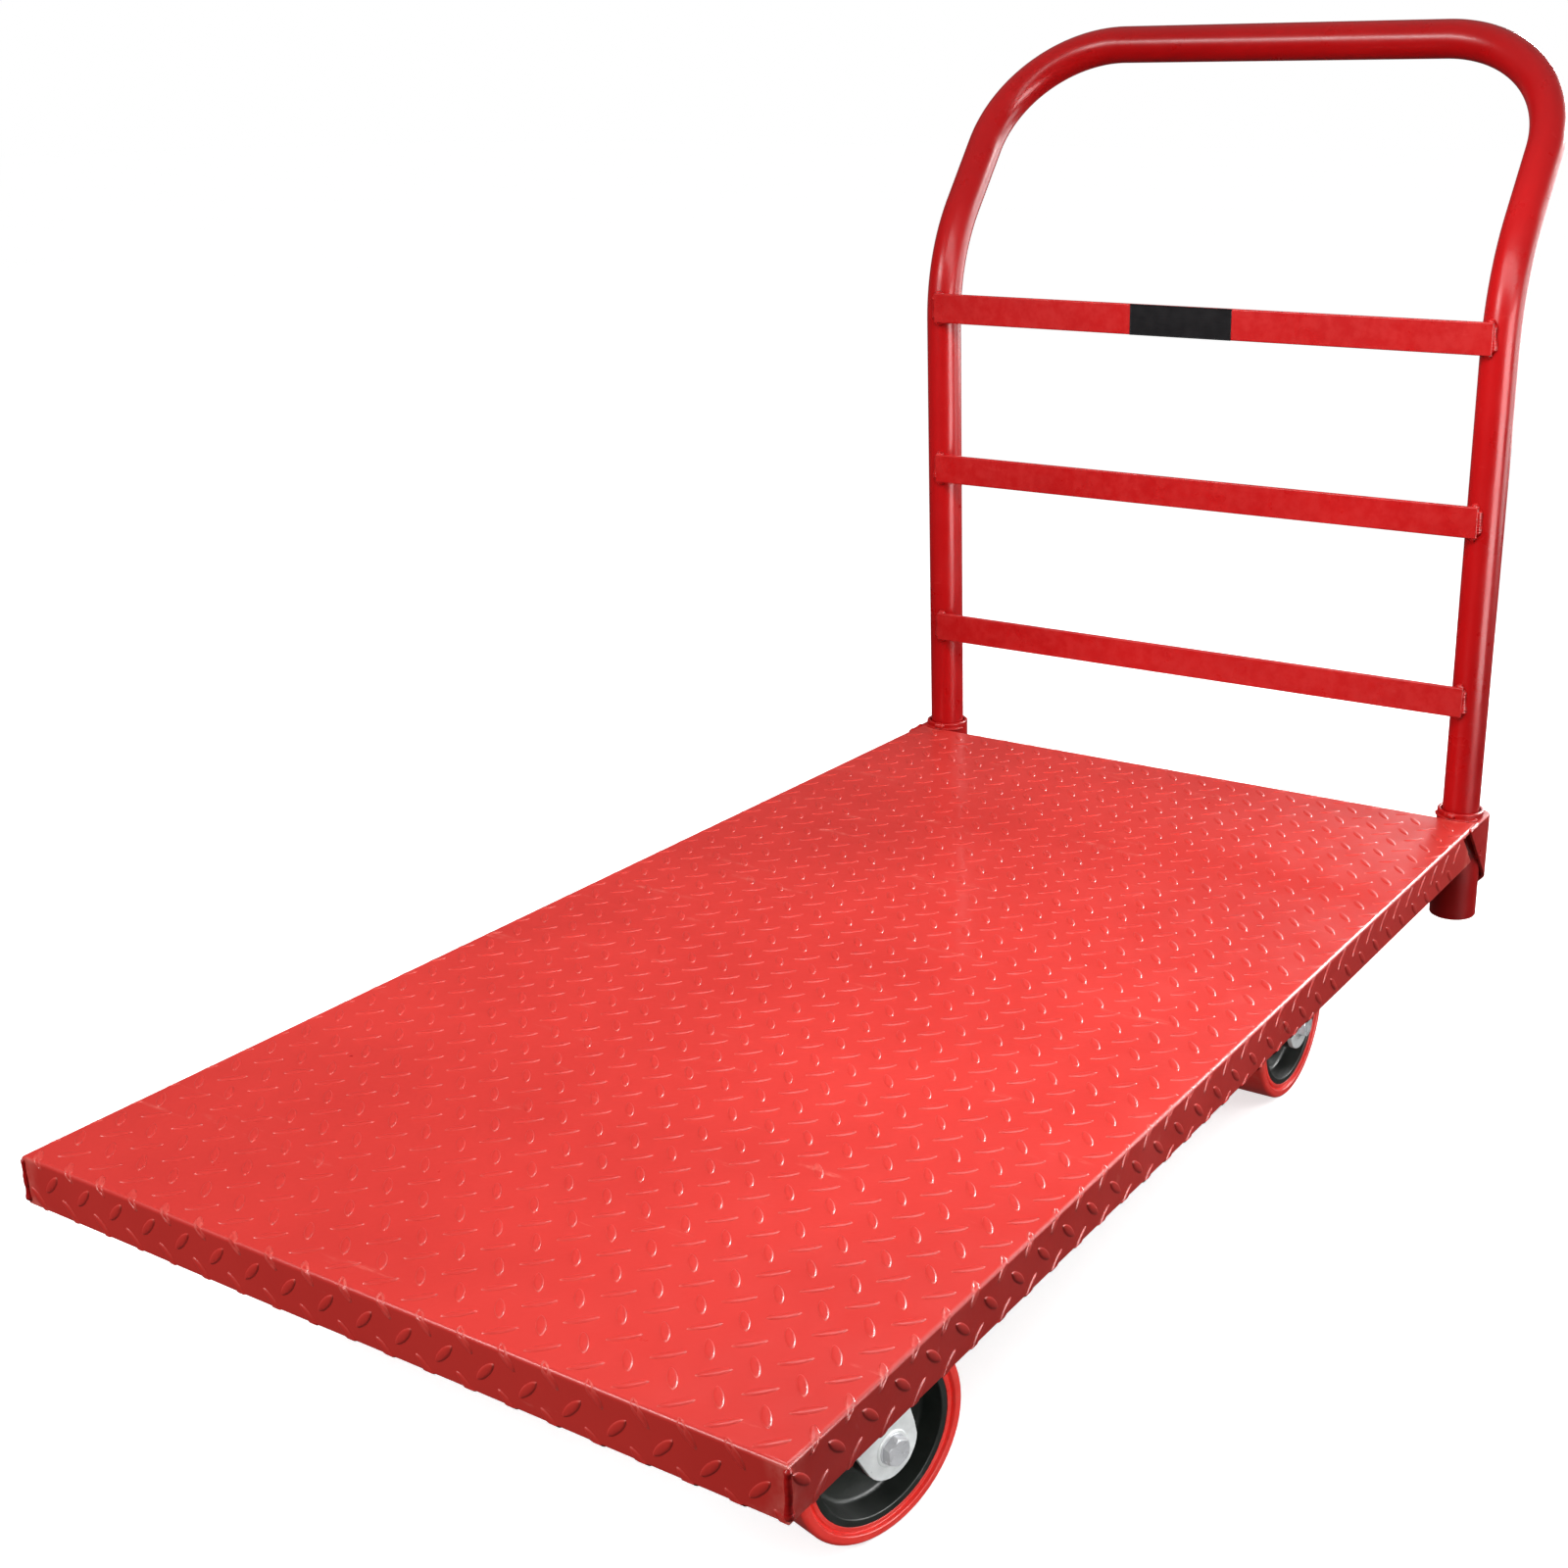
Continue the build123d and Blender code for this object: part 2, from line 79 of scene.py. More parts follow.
# -------- camera, world and light
def make_camera():
    """Stands off the front right corner and looks down along the deck."""
    azimuth, elevation, roll = radians(31.636), radians(20.492), radians(-0.404)
    forward = Vector((-sin(azimuth) * cos(elevation), cos(azimuth) * cos(elevation), -sin(elevation)))
    level = Vector((cos(azimuth), sin(azimuth), 0))
    upright = level.cross(forward)
    sideways = level * cos(roll) + upright * sin(roll)
    upward = upright * cos(roll) - level * sin(roll)
    data = bpy.data.cameras.new("camera")
    data.sensor_width = 36.0
    data.lens = 46.33
    data.shift_x = -0.1094
    data.shift_y = 0.0362
    data.clip_end = 100.0
    camera = bpy.data.objects.new("camera", data)
    camera.matrix_world = Matrix.Translation((0.91499, -1.46117, 0.94691)) @ (
        Matrix((sideways, upward, -forward)).transposed().to_4x4()
    )
    show(camera)
    bpy.context.scene.camera = camera


def make_light(name, place, target, size, power, card=False):
    """Soft panel. A card is one that shows only as a reflection."""
    data = bpy.data.lights.new(name, "AREA")
    data.shape = "RECTANGLE"
    data.size, data.size_y = size
    data.energy = power
    light = bpy.data.objects.new(name, data)
    light.visible_camera = False
    light.visible_diffuse = not card
    light.location = place
    light.rotation_mode = "QUATERNION"
    light.rotation_quaternion = (Vector(target) - Vector(place)).to_track_quat("-Z", "Y")
    show(light)


def make_world():
    """The camera sees plain white. The truck is lit brightly from overhead and dimly from the sides."""
    world = bpy.data.worlds.new("studio")
    world.use_nodes = True
    bpy.context.scene.world = world
    nodes, link = world.node_tree.nodes, world.node_tree.links.new
    background = nodes["Background"]
    coords = nodes.new("ShaderNodeTexCoord")
    split = nodes.new("ShaderNodeSeparateXYZ")
    height = nodes.new("ShaderNodeMapRange")
    height.inputs["From Min"].default_value = -1.0
    ramp = nodes.new("ShaderNodeValToRGB")
    link(coords.outputs["Generated"], split.inputs[0])
    link(split.outputs["Z"], height.inputs["Value"])
    link(height.outputs["Result"], ramp.inputs[0])
    link(ramp.outputs["Color"], background.inputs["Color"])
    stops = ramp.color_ramp.elements
    stops[0].position, stops[0].color = 0.40, (0.06, 0.06, 0.06, 1)
    stops[1].position, stops[1].color = 1.0, (0.52, 0.52, 0.52, 1)
    for place, grey in ((0.50, 0.20), (0.56, 0.12), (0.68, 0.10), (0.82, 0.32)):
        stops.new(place).color = (grey, grey, grey, 1)
    backdrop = nodes.new("ShaderNodeBackground")
    backdrop.inputs["Color"].default_value = (1, 1, 1, 1)
    seen = nodes.new("ShaderNodeLightPath")
    either = nodes.new("ShaderNodeMixShader")
    link(seen.outputs["Is Camera Ray"], either.inputs["Fac"])
    link(background.outputs[0], either.inputs[1])
    link(backdrop.outputs[0], either.inputs[2])
    link(either.outputs[0], nodes["World Output"].inputs["Surface"])


def make_studio():
    make_world()
    make_light("key", (-1.0, -2.3, 1.7), (0, -0.3, 0.2), (1.4, 1.2), 46)
    make_light("overhead", (0.52, -0.1, 1.2), (0.46, -0.1, 0), (0.45, 1.5), 14.5)
    make_light("side_fill", (1.5, 1.3, 0.6), (0.3, 0.3, 0.2), (0.8, 0.8), 13)
    make_light("rear_fill", (0.5, 1.9, 0.75), (0.1, 0.6, 0.3), (1.2, 0.8), 16)
    make_light("low_fill", (1.5, -1.0, 0.30), (0.3, -0.5, 0.08), (0.5, 0.4), 11)
    make_light("rear_card", (0.8, 2.4, 1.4), (0.3, 0, 0.3), (1.8, 0.35), 130, card=True)
    make_light("right_card", (1.5, 0.0, 0.5), (0, 0.3, 0.5), (0.8, 1.0), 40, card=True)
    make_light("front_card", (-1.0, -1.7, 1.65), (0, -0.7, 0.2), (0.9, 0.3), 16, card=True)


make_camera()
make_studio()


# -------- finishes
class Finish:
    """A node material: one Principled shader and the textures that feed it."""

    def __init__(self, name, **sockets):
        self.material = bpy.data.materials.new(name)
        self.material.use_nodes = True
        self.tree = self.material.node_tree
        self.shader = self.tree.nodes["Principled BSDF"]
        self.where = self.node("TexCoord").outputs["Object"]
        for socket, value in sockets.items():
            self.shader.inputs[socket.replace("_", " ")].default_value = value

    def link(self, source, target):
        self.tree.links.new(source, target)

    def node(self, kind):
        return self.tree.nodes.new("ShaderNode" + kind)

    def noise(self, scale, detail=3.0, roughness=0.5, stretch=None, turn=0.0):
        texture = self.node("TexNoise")
        texture.inputs["Scale"].default_value = scale
        texture.inputs["Detail"].default_value = detail
        texture.inputs["Roughness"].default_value = roughness
        place = self.where
        if stretch:
            mapping = self.node("Mapping")
            mapping.inputs["Scale"].default_value = stretch
            mapping.inputs["Rotation"].default_value = (0, 0, turn)
            self.link(self.where, mapping.inputs["Vector"])
            place = mapping.outputs["Vector"]
        self.link(place, texture.inputs["Vector"])
        return texture.outputs["Fac"]

    def cells(self, scale):
        texture = self.node("TexVoronoi")
        texture.inputs["Scale"].default_value = scale
        self.link(self.where, texture.inputs["Vector"])
        return texture.outputs["Color"]

    def edges(self, low, high):
        """0 to 1 over the mesh's rounded edges: 1 on the sharpest."""
        return self.span(self.node("NewGeometry").outputs["Pointiness"], low, high, 0, 1)

    def span(self, source, low, high, out_low, out_high):
        node = self.node("MapRange")
        sockets = ("From Min", "From Max", "To Min", "To Max")
        for socket, value in zip(sockets, (low, high, out_low, out_high)):
            node.inputs[socket].default_value = value
        self.link(source, node.inputs["Value"])
        return node.outputs["Result"]

    def product(self, first, second):
        node = self.node("Math")
        node.operation = "MULTIPLY"
        self.link(first, node.inputs[0])
        self.link(second, node.inputs[1])
        return node.outputs[0]

    def colours(self, source, stops):
        node = self.node("ValToRGB")
        elements = node.color_ramp.elements
        for element, (position, colour) in zip(elements, (stops[0], stops[-1])):
            element.position, element.color = position, (*colour, 1)
        for position, colour in stops[1:-1]:
            elements.new(position).color = (*colour, 1)
        self.link(source, node.inputs[0])
        return node.outputs["Color"]

    def blend(self, share, under, over):
        """Colour over laid on under by share; over is a colour socket or three numbers."""
        node = self.node("Mix")
        node.data_type = "RGBA"
        self.link(share, node.inputs["Factor"])
        self.link(under, node.inputs["A"])
        if isinstance(over, tuple):
            node.inputs["B"].default_value = (*over, 1)
        else:
            self.link(over, node.inputs["B"])
        return node.outputs["Result"]

    def bumps(self, *layers):
        """Each layer is (height socket, depth in metres)."""
        normal = None
        for height, depth in layers:
            node = self.node("Bump")
            node.inputs["Distance"].default_value = depth
            self.link(height, node.inputs["Height"])
            if normal:
                self.link(normal, node.inputs["Normal"])
            normal = node.outputs["Normal"]
        self.link(normal, self.shader.inputs["Normal"])

    def base(self, socket):
        self.link(socket, self.shader.inputs["Base Color"])

    def rough(self, socket):
        self.link(socket, self.shader.inputs["Roughness"])


def paint(name, deep, main, wear_and_highlight, gloss, coat, peel):
    """Sprayed enamel: patchy depth of colour, orange peel, faint scuffs, and thin paler edges on folds and
    raised marks that are partly wear and partly painted highlight.
    """
    f = Finish(name, Coat_Weight=coat, Coat_Roughness=0.12, Specular_IOR_Level=0.2)
    patch = f.noise(4.0, 4.0, 0.55)
    fleck = f.noise(95.0, 5.0, 0.6)
    colour = f.colours(patch, ((0.32, deep), (0.68, main)))
    scuff = f.span(f.noise(7.0, 6.0, 0.7, stretch=(1.0, 9.0, 6.0), turn=0.5), 0.62, 0.74, 0, 0.35)
    colour = f.blend(f.product(scuff, f.span(fleck, 0.4, 0.6, 0, 1)), colour, wear_and_highlight)
    # Edges, folds and the ridges of the tread marks are made paler: partly wear, partly painted highlight.
    lightened_edges = f.product(f.edges(0.53, 0.62), f.span(fleck, 0.38, 0.62, 0.15, 0.8))
    f.base(f.blend(lightened_edges, colour, wear_and_highlight))
    f.rough(f.span(f.noise(22.0, 6.0, 0.62), 0.25, 0.75, gloss - 0.08, gloss + 0.1))
    f.bumps((f.noise(240.0, 2.0, 0.4), peel), (f.noise(30.0, 2.0, 0.5), peel * 2.5))
    return f.material


def zinc(name, tint, gloss):
    """Bright plating: small spangles, handling smudges and fine rolling lines."""
    f = Finish(name, Metallic=0.2)
    spangle = f.cells(160.0)
    bright = tuple(min(1.0, c * 1.08) for c in tint)
    dull = tuple(c * 0.72 for c in tint)
    smudge = f.noise(28.0, 5.0, 0.6)
    colour = f.colours(smudge, ((0.34, dull), (0.6, tint), (0.8, bright)))
    f.base(f.blend(f.span(spangle, 0.0, 1.0, 0.0, 0.14), colour, (0.92, 0.94, 1.0)))
    f.rough(f.span(f.noise(60.0, 6.0, 0.65), 0.3, 0.7, gloss - 0.07, gloss + 0.14))
    f.bumps(
        (f.noise(80.0, 4.0, 0.6, stretch=(1.0, 1.0, 14.0)), 0.00006),
        (f.noise(420.0, 2.0, 0.5), 0.00005),
    )
    return f.material


def polyurethane(name):
    """Cast red tyre: slightly cloudy, with a dusty scuffed running face."""
    f = Finish(name, Subsurface_Weight=0.04, Subsurface_Scale=0.004, IOR=1.5)
    cloud = f.noise(16.0, 4.0, 0.6)
    colour = f.colours(cloud, ((0.3, (0.74, 0.032, 0.024)), (0.7, (0.92, 0.055, 0.042))))
    dust = f.span(f.noise(55.0, 7.0, 0.7), 0.55, 0.75, 0.0, 0.28)
    f.base(f.blend(dust, colour, (0.80, 0.22, 0.17)))
    f.rough(f.span(f.noise(38.0, 6.0, 0.6), 0.3, 0.7, 0.26, 0.46))
    f.bumps((f.noise(320.0, 3.0, 0.55), 0.00008), (f.noise(42.0, 3.0, 0.5), 0.00025))
    return f.material


def cast_black(name):
    """Black enamel over sand-cast iron: pebbly skin, edges grey with wear."""
    f = Finish(name, Specular_IOR_Level=0.3, Coat_Weight=0.1, Coat_Roughness=0.2)
    grain = f.noise(330.0, 4.0, 0.6)
    colour = f.colours(f.noise(20.0, 4.0, 0.6), ((0.3, (0.006, 0.008, 0.007)), (0.72, (0.020, 0.024, 0.020))))
    lightened_edges = f.product(f.edges(0.54, 0.66), f.span(grain, 0.3, 0.7, 0, 0.6))
    f.base(f.blend(lightened_edges, colour, (0.12, 0.12, 0.115)))
    f.rough(f.span(f.noise(45.0, 6.0, 0.6), 0.3, 0.7, 0.3, 0.5))
    f.bumps((grain, 0.00012), (f.noise(70.0, 3.0, 0.5), 0.0003))
    return f.material


def plate_film(name):
    """Black printed plate: fine brushed grain under a satin film."""
    f = Finish(name, Specular_IOR_Level=0.2)
    brush = f.noise(30.0, 4.0, 0.6, stretch=(1.5, 1.0, 60.0))
    f.base(f.colours(brush, ((0.3, (0.004, 0.004, 0.005)), (0.75, (0.010, 0.010, 0.011)))))
    f.rough(f.span(f.noise(70.0, 5.0, 0.6), 0.3, 0.7, 0.26, 0.4))
    f.bumps((brush, 0.00003), (f.noise(600.0, 2.0, 0.5), 0.00002))
    return f.material


def greased_steel(name):
    f = Finish(name, Metallic=1.0)
    colour = f.colours(f.noise(50.0, 5.0, 0.6), ((0.3, (0.16, 0.15, 0.14)), (0.7, (0.42, 0.42, 0.42))))
    f.base(f.blend(f.span(f.noise(26.0, 4.0, 0.6), 0.5, 0.7, 0, 0.7), colour, (0.07, 0.055, 0.04)))
    f.rough(f.span(f.noise(90.0, 5.0, 0.6), 0.3, 0.7, 0.2, 0.45))
    f.bumps((f.noise(400.0, 3.0, 0.5), 0.00004))
    return f.material


def floor_finish(name):
    f = Finish(name)
    f.base(f.colours(f.noise(1.5, 3.0), ((0.3, (0.93, 0.93, 0.93)), (0.7, (0.96, 0.96, 0.96)))))
    f.rough(f.span(f.noise(6.0, 3.0), 0.3, 0.7, 0.8, 0.9))
    f.shader.inputs["Emission Color"].default_value = (1, 1, 1, 1)
    f.shader.inputs["Emission Strength"].default_value = 0.7
    return f.material


FINISHES = {
    # Deck red: paler and more orange than the frame and handle red; its raised green and blue are a painted
    # sheen of the light on the deck top. Its pale edge colour is partly wear and partly painted highlight.
    "deck_paint": paint(
        "deck_enamel", (0.54, 0.028, 0.022), (0.63, 0.037, 0.029), (0.92, 0.32, 0.26), 0.34, 0.2, 0.00006
    ),
    "frame_paint": paint(
        "frame_enamel", (0.36, 0.004, 0.004), (0.48, 0.006, 0.006), (0.66, 0.09, 0.07), 0.32, 0.08, 0.00007
    ),
    "handle_paint": paint(
        "handle_enamel", (0.40, 0.003, 0.004), (0.50, 0.005, 0.006), (0.70, 0.08, 0.07), 0.30, 0.12, 0.00005
    ),
    "plate_black": plate_film("plate_film"),
    "tread_polyurethane": polyurethane("cast_polyurethane"),
    "wheel_core_black": cast_black("cast_iron_enamel"),
    "caster_zinc": zinc("plated_yoke", (0.93, 0.96, 0.95), 0.30),
    "bolt_zinc": zinc("plated_bolt", (0.66, 0.67, 0.69), 0.24),
    "bearing_steel": greased_steel("greased_steel"),
}


# -------- mesh tools
def closed_mesh(name, points, faces, merge=None):
    """Mesh with its faces turned outward. Points nearer than merge become one."""
    mesh = bpy.data.meshes.new(name)
    mesh.from_pydata([tuple(p) for p in points], [], faces)
    form = bmesh.new()
    form.from_mesh(mesh)
    if merge:
        bmesh.ops.remove_doubles(form, verts=form.verts, dist=merge)
    bmesh.ops.recalc_face_normals(form, faces=form.faces)
    form.to_mesh(mesh)
    form.free()
    return mesh


class Shape:
    """Points and faces of one piece, gathered from several closed forms."""

    def __init__(self):
        self.points, self.faces = [], []

    def add(self, points, faces):
        start = len(self.points)
        self.points += [Vector(p) for p in points]
        self.faces += [[start + i for i in face] for face in faces]
        return self

    def add_bmesh(self, form):
        form.verts.index_update()
        self.add([v.co.copy() for v in form.verts], [[v.index for v in f.verts] for f in form.faces])
        form.free()
        return self

    def place(self, name, body, slot, stands_for=(), *, sharp):
        """Makes the object, with its finish, on its body. Folds of more than sharp degrees stay crisp."""
        piece = bpy.data.objects.new(name, closed_mesh(name, self.points, self.faces))
        show(piece)
        piece.data.shade_smooth()
        piece.data.set_sharp_from_angle(angle=radians(sharp))
        piece.modifiers.new("even_normals", "WEIGHTED_NORMAL").keep_sharp = True
        piece.data.materials.append(FINISHES[slot])
        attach(piece, body)
        if stands_for:
            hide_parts(*stands_for)


def loft(rings, closed=True, capped=True):
    """Faces over rings of equal length. Closed means each ring closes on itself."""
    count = len(rings[0])
    points = [p for ring in rings for p in ring]
    faces = []
    for k in range(len(rings) - 1):
        for i in range(count if closed else count - 1):
            j = (i + 1) % count
            faces.append([k * count + i, k * count + j, (k + 1) * count + j, (k + 1) * count + i])
    if capped:
        faces.append(list(range(count))[::-1])
        faces.append([(len(rings) - 1) * count + i for i in range(count)])
    return points, faces


def rounded_outline(corners, radii, steps=6):
    """Closed 2D outline whose corners are arcs, of one radius or one for each corner."""
    outline = []
    count = len(corners)
    for i, corner in enumerate(corners):
        here = Vector(corner)
        before = Vector(corners[i - 1]) - here
        after = Vector(corners[(i + 1) % count]) - here
        radius = radii[i] if isinstance(radii, (list, tuple)) else radii
        half = before.angle(after) / 2
        reach = min(radius / tan(half), 0.49 * before.length, 0.49 * after.length)
        start, end = here + before.normalized() * reach, here + after.normalized() * reach
        if reach < 1e-6:
            outline.append(here)
            continue
        middle = here + (before.normalized() + after.normalized()).normalized() * (reach / cos(half))
        spoke, turn = start - middle, (start - middle).angle_signed(end - middle)
        for k in range(steps + 1):
            c, s = cos(-turn * k / steps), sin(-turn * k / steps)
            outline.append(middle + Vector((spoke.x * c - spoke.y * s, spoke.x * s + spoke.y * c)))
    return outline


def both_sides(right, steps):
    """Profile that is alike on both sides, from (radius, along, rounding in mm) up its right side."""
    whole = right + [(radius, -along, rounding) for radius, along, rounding in right[::-1]]
    return rounded_outline([corner[:2] for corner in whole], [corner[2] * MM for corner in whole], steps)


def lathe(profile, centre, axis, side, segments=128):
    """Revolves a closed (radius, along) profile about axis through centre."""
    third = axis.cross(side)
    rings = []
    for angle in angles(segments):
        out = side * cos(angle) + third * sin(angle)
        rings.append([centre + out * r + axis * a for r, a in profile])
    rings.append(rings[0])
    points, faces = loft(rings, capped=False)
    last = segments * len(profile)
    return points[:last], [[i % last for i in face] for face in faces]


def rounded_box(low, high, radius, segments=3):
    form = bmesh.new()
    bmesh.ops.create_cube(form, size=1.0)
    low, high = Vector(low), Vector(high)
    for v in form.verts:
        v.co = Vector((low[i] + (v.co[i] + 0.5) * (high[i] - low[i]) for i in range(3)))
    edges = list(form.edges)
    bmesh.ops.bevel(form, geom=edges, offset=radius, segments=segments, affect="EDGES", profile=0.5)
    return form


def slab(outline, thickness, radius, segments=2):
    """Flat plate: a 3D outline thickened along a vector, all its edges rounded."""
    form = bmesh.new()
    bottom = [form.verts.new(p) for p in outline]
    top = [form.verts.new(p + thickness) for p in outline]
    form.faces.new(bottom[::-1])
    form.faces.new(top)
    for i in range(len(outline)):
        j = (i + 1) % len(outline)
        form.faces.new((bottom[i], bottom[j], top[j], top[i]))
    rims = [e for e in form.edges if (e.verts[0] in bottom) == (e.verts[1] in bottom)]
    sharp = [
        e
        for e in form.edges
        if e not in rims and len(e.link_faces) == 2 and e.calc_face_angle(0) > radians(30)
    ]
    bmesh.ops.bevel(form, geom=rims + sharp, offset=radius, segments=segments, affect="EDGES", profile=0.5)
    return form


def rounded_path(corners, radii, spacing):
    """Points along straight runs joined by arcs, at most spacing apart on the arcs."""
    path = [Vector(corners[0])]
    for last, corner, following, radius in zip(corners, corners[1:], corners[2:], radii):
        here = Vector(corner)
        before = (Vector(last) - here).normalized()
        after = (Vector(following) - here).normalized()
        half = before.angle(after) / 2
        reach = radius / tan(half)
        middle = here + (before + after).normalized() * (radius / sin(half))
        start = here + before * reach - middle
        end = here + after * reach - middle
        turn = start.angle(end)
        steps = max(4, ceil(radius * turn / spacing))
        for k in range(steps + 1):
            t = k / steps
            path.append(middle + (start * sin((1 - t) * turn) + end * sin(t * turn)) / sin(turn))
    path.append(Vector(corners[-1]))
    return path


def subdivided(path, spacing):
    """The same line with its long runs cut into short ones."""
    fine = [path[0]]
    for a, b in zip(path, path[1:]):
        steps = max(1, ceil((b - a).length / spacing))
        fine += [a.lerp(b, k / steps) for k in range(1, steps + 1)]
    return fine


def sweep(path, radius_at, segments=40):
    """Rings of a round section carried along the path without twist."""
    rings = []
    tangent = (path[1] - path[0]).normalized()
    side = tangent.orthogonal().normalized()
    travelled = 0.0
    for i, point in enumerate(path):
        ahead = path[min(i + 1, len(path) - 1)] - path[max(i - 1, 0)]
        turned = tangent.rotation_difference(ahead.normalized())
        tangent, side = ahead.normalized(), turned @ side
        third = tangent.cross(side)
        travelled += (point - path[i - 1]).length if i else 0.0
        radius = radius_at(travelled)
        rings.append([point + (side * cos(a) + third * sin(a)) * radius for a in angles(segments)])
    return rings


def weld(path, radius, seed, pitch=2.8 * MM):
    """A run of weld: overlapping ripples, uneven height and a blob where it stops."""
    fine = subdivided(path, 0.6 * MM)
    total = sum((b - a).length for a, b in zip(fine, fine[1:]))
    drifted = []
    for i, point in enumerate(fine):
        where = Vector((seed * 3.7, i * 0.045, seed * 1.3))
        drifted.append(point + noise.noise_vector(where) * radius * 0.28)

    def radius_at(s):
        ripple = 1 + 0.10 * abs(sin(pi * s / pitch + 0.8 * noise.noise(Vector((seed, s * 300, 0)))))
        lumps = 1 + 0.22 * noise.noise(Vector((s * 130, seed * 5.1, 0.3)))
        ends = min(1.0, 0.25 + min(s, total - s) / (1.2 * radius))
        stop = 1 + 0.35 * exp(-(((total - s) / (1.6 * radius)) - 1) ** 2)
        return radius * ripple * lumps * ends * stop

    return loft(sweep(drifted, radius_at, 14))


def hexagon_form(centre, axis, side, flats, height, chamfer, sides_both=False):
    """Hexagon whose corners are turned off to a cone at its outer face, or at both faces."""
    third = axis.cross(side)
    levels = [height - chamfer, height - chamfer * 0.6, height - chamfer * 0.25, height]
    levels = ([0.0, chamfer * 0.4, chamfer] if sides_both else [0.0, 0.1 * MM]) + levels
    rings = []
    for level in levels:
        ring = []
        low = level if sides_both else chamfer
        slack = min(height - level, low) * 1.75
        for angle in angles(72):
            flat = flats / 2 / cos((angle + pi / 6) % (pi / 3) - pi / 6)
            out = min(flat, flats * 0.492 + slack)
            ring.append(centre + axis * level + (side * cos(angle) + third * sin(angle)) * out)
        rings.append(ring)
    return loft(rings)


# -------- deck
DECK_LOW, DECK_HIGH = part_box("deck_plate")
DECK_MIDDLE = (DECK_LOW + DECK_HIGH) / 2
DECK_TOP = DECK_HIGH.z
HALF_X, HALF_Y = (DECK_HIGH.x - DECK_LOW.x) / 2, (DECK_HIGH.y - DECK_LOW.y) / 2
ON_DECK = Vector((DECK_MIDDLE.x, DECK_MIDDLE.y, DECK_TOP))
FLANGE = DECK_HIGH.z - DECK_LOW.z
SHEET = 3.2 * MM
FOLD = 3.0 * MM
SOCKET_LOW, SOCKET_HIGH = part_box("right_handle_socket")
SOCKET_X, SOCKET_Y = (SOCKET_LOW.x + SOCKET_HIGH.x) / 2, (SOCKET_LOW.y + SOCKET_HIGH.y) / 2
SOCKET_R = (SOCKET_HIGH.x - SOCKET_LOW.x) / 2
GUSSET_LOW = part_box("right_corner_gusset")[0]
GUSSET_LOW_X = SOCKET_X + SOCKET_R
NOTCH = 0.3 * MM
SLOT_FRONT = GUSSET_LOW.y - 20 * MM
SLOT_SLOPE = 36.0 * MM / (FLANGE - SHEET)
CLEAR = 20 * MM


def sag(x, y):
    """Height by which the flat of the deck strays; nothing at its folded edges."""
    inside = min(1.0, (HALF_X - abs(x)) / 0.06, (HALF_Y - abs(y)) / 0.06)
    return max(inside, 0.0) * 0.6 * MM * noise.noise(Vector((x * 3.1, y * 3.1, 4.2)))


def sway(along, drop):
    """Distance by which a flange strays outward, more towards its free edge."""
    return (drop / FLANGE) ** 1.5 * 0.8 * MM * noise.noise(Vector((along * 4.5, 9.1, 2.0)))


def deck_ring(inset, drop, count_x, count_y):
    """Rectangle round the deck, inset from its outer faces and dropped from its top."""
    half_x, half_y = HALF_X - inset, HALF_Y - inset
    ring = []
    for sx, sy, ex, ey, steps in (
        (-1, -1, 1, -1, count_x),
        (1, -1, 1, 1, count_y),
        (1, 1, -1, 1, count_x),
        (-1, 1, -1, -1, count_y),
    ):
        for k in range(steps):
            x = (sx + (ex - sx) * k / steps) * half_x
            y = (sy + (ey - sy) * k / steps) * half_y
            out_x = sway(y, drop) * (ex == sx) * sx
            out_y = sway(x, drop) * (ey == sy) * sy
            ends = sin(pi * k / steps)
            ring.append(Vector((x + out_x * ends, y + out_y * ends, -drop)) + ON_DECK)
    return ring


def deck_flat(inset, drop, count_x, count_y):
    """Grid inside the ring of the same inset: its border matches that ring."""
    half_x, half_y = HALF_X - inset, HALF_Y - inset
    rows = []
    for j in range(count_y + 1):
        y = (2 * j / count_y - 1) * half_y
        across = [(2 * i / count_x - 1) * half_x for i in range(count_x + 1)]
        rows.append([Vector((x, y, sag(x, y) - drop)) + ON_DECK for x in across])
    return loft(rows, closed=False, capped=False)


def deck_sheet():
    """The folded tray as one closed sheet, before its corners are cut."""
    count_x, count_y = 36, 64
    lip = 0.9 * MM
    fold = [radians(15 * k) for k in range(7)]
    profile = [(FOLD * (1 - sin(a)), FOLD * (1 - cos(a))) for a in fold]
    profile += [(0, FOLD + (FLANGE - FOLD - lip) * k / 6) for k in range(1, 7)]
    profile += [(lip * 0.3, FLANGE - lip * 0.3), (lip, FLANGE)]
    profile += [(SHEET - lip, FLANGE), (SHEET - lip * 0.3, FLANGE - lip * 0.3)]
    profile += [(SHEET, FLANGE - lip - (FLANGE - lip - SHEET - lip) * k / 3) for k in range(4)]
    profile += [(SHEET + lip * 0.3, SHEET + lip * 0.3), (SHEET + lip, SHEET)]
    rings = [deck_ring(inset, drop, count_x, count_y) for inset, drop in profile]
    shape = Shape().add(*loft(rings, capped=False))
    for inset, drop in (profile[0], profile[-1]):
        shape.add(*deck_flat(inset, drop, count_x, count_y))
    return bpy.data.objects.new("deck_sheet", closed_mesh("deck_sheet", shape.points, shape.faces, 0.02 * MM))


def cutter(rings):
    tool = bpy.data.objects.new("cutter", closed_mesh("cutter", *loft(rings)))
    show(tool)
    return tool


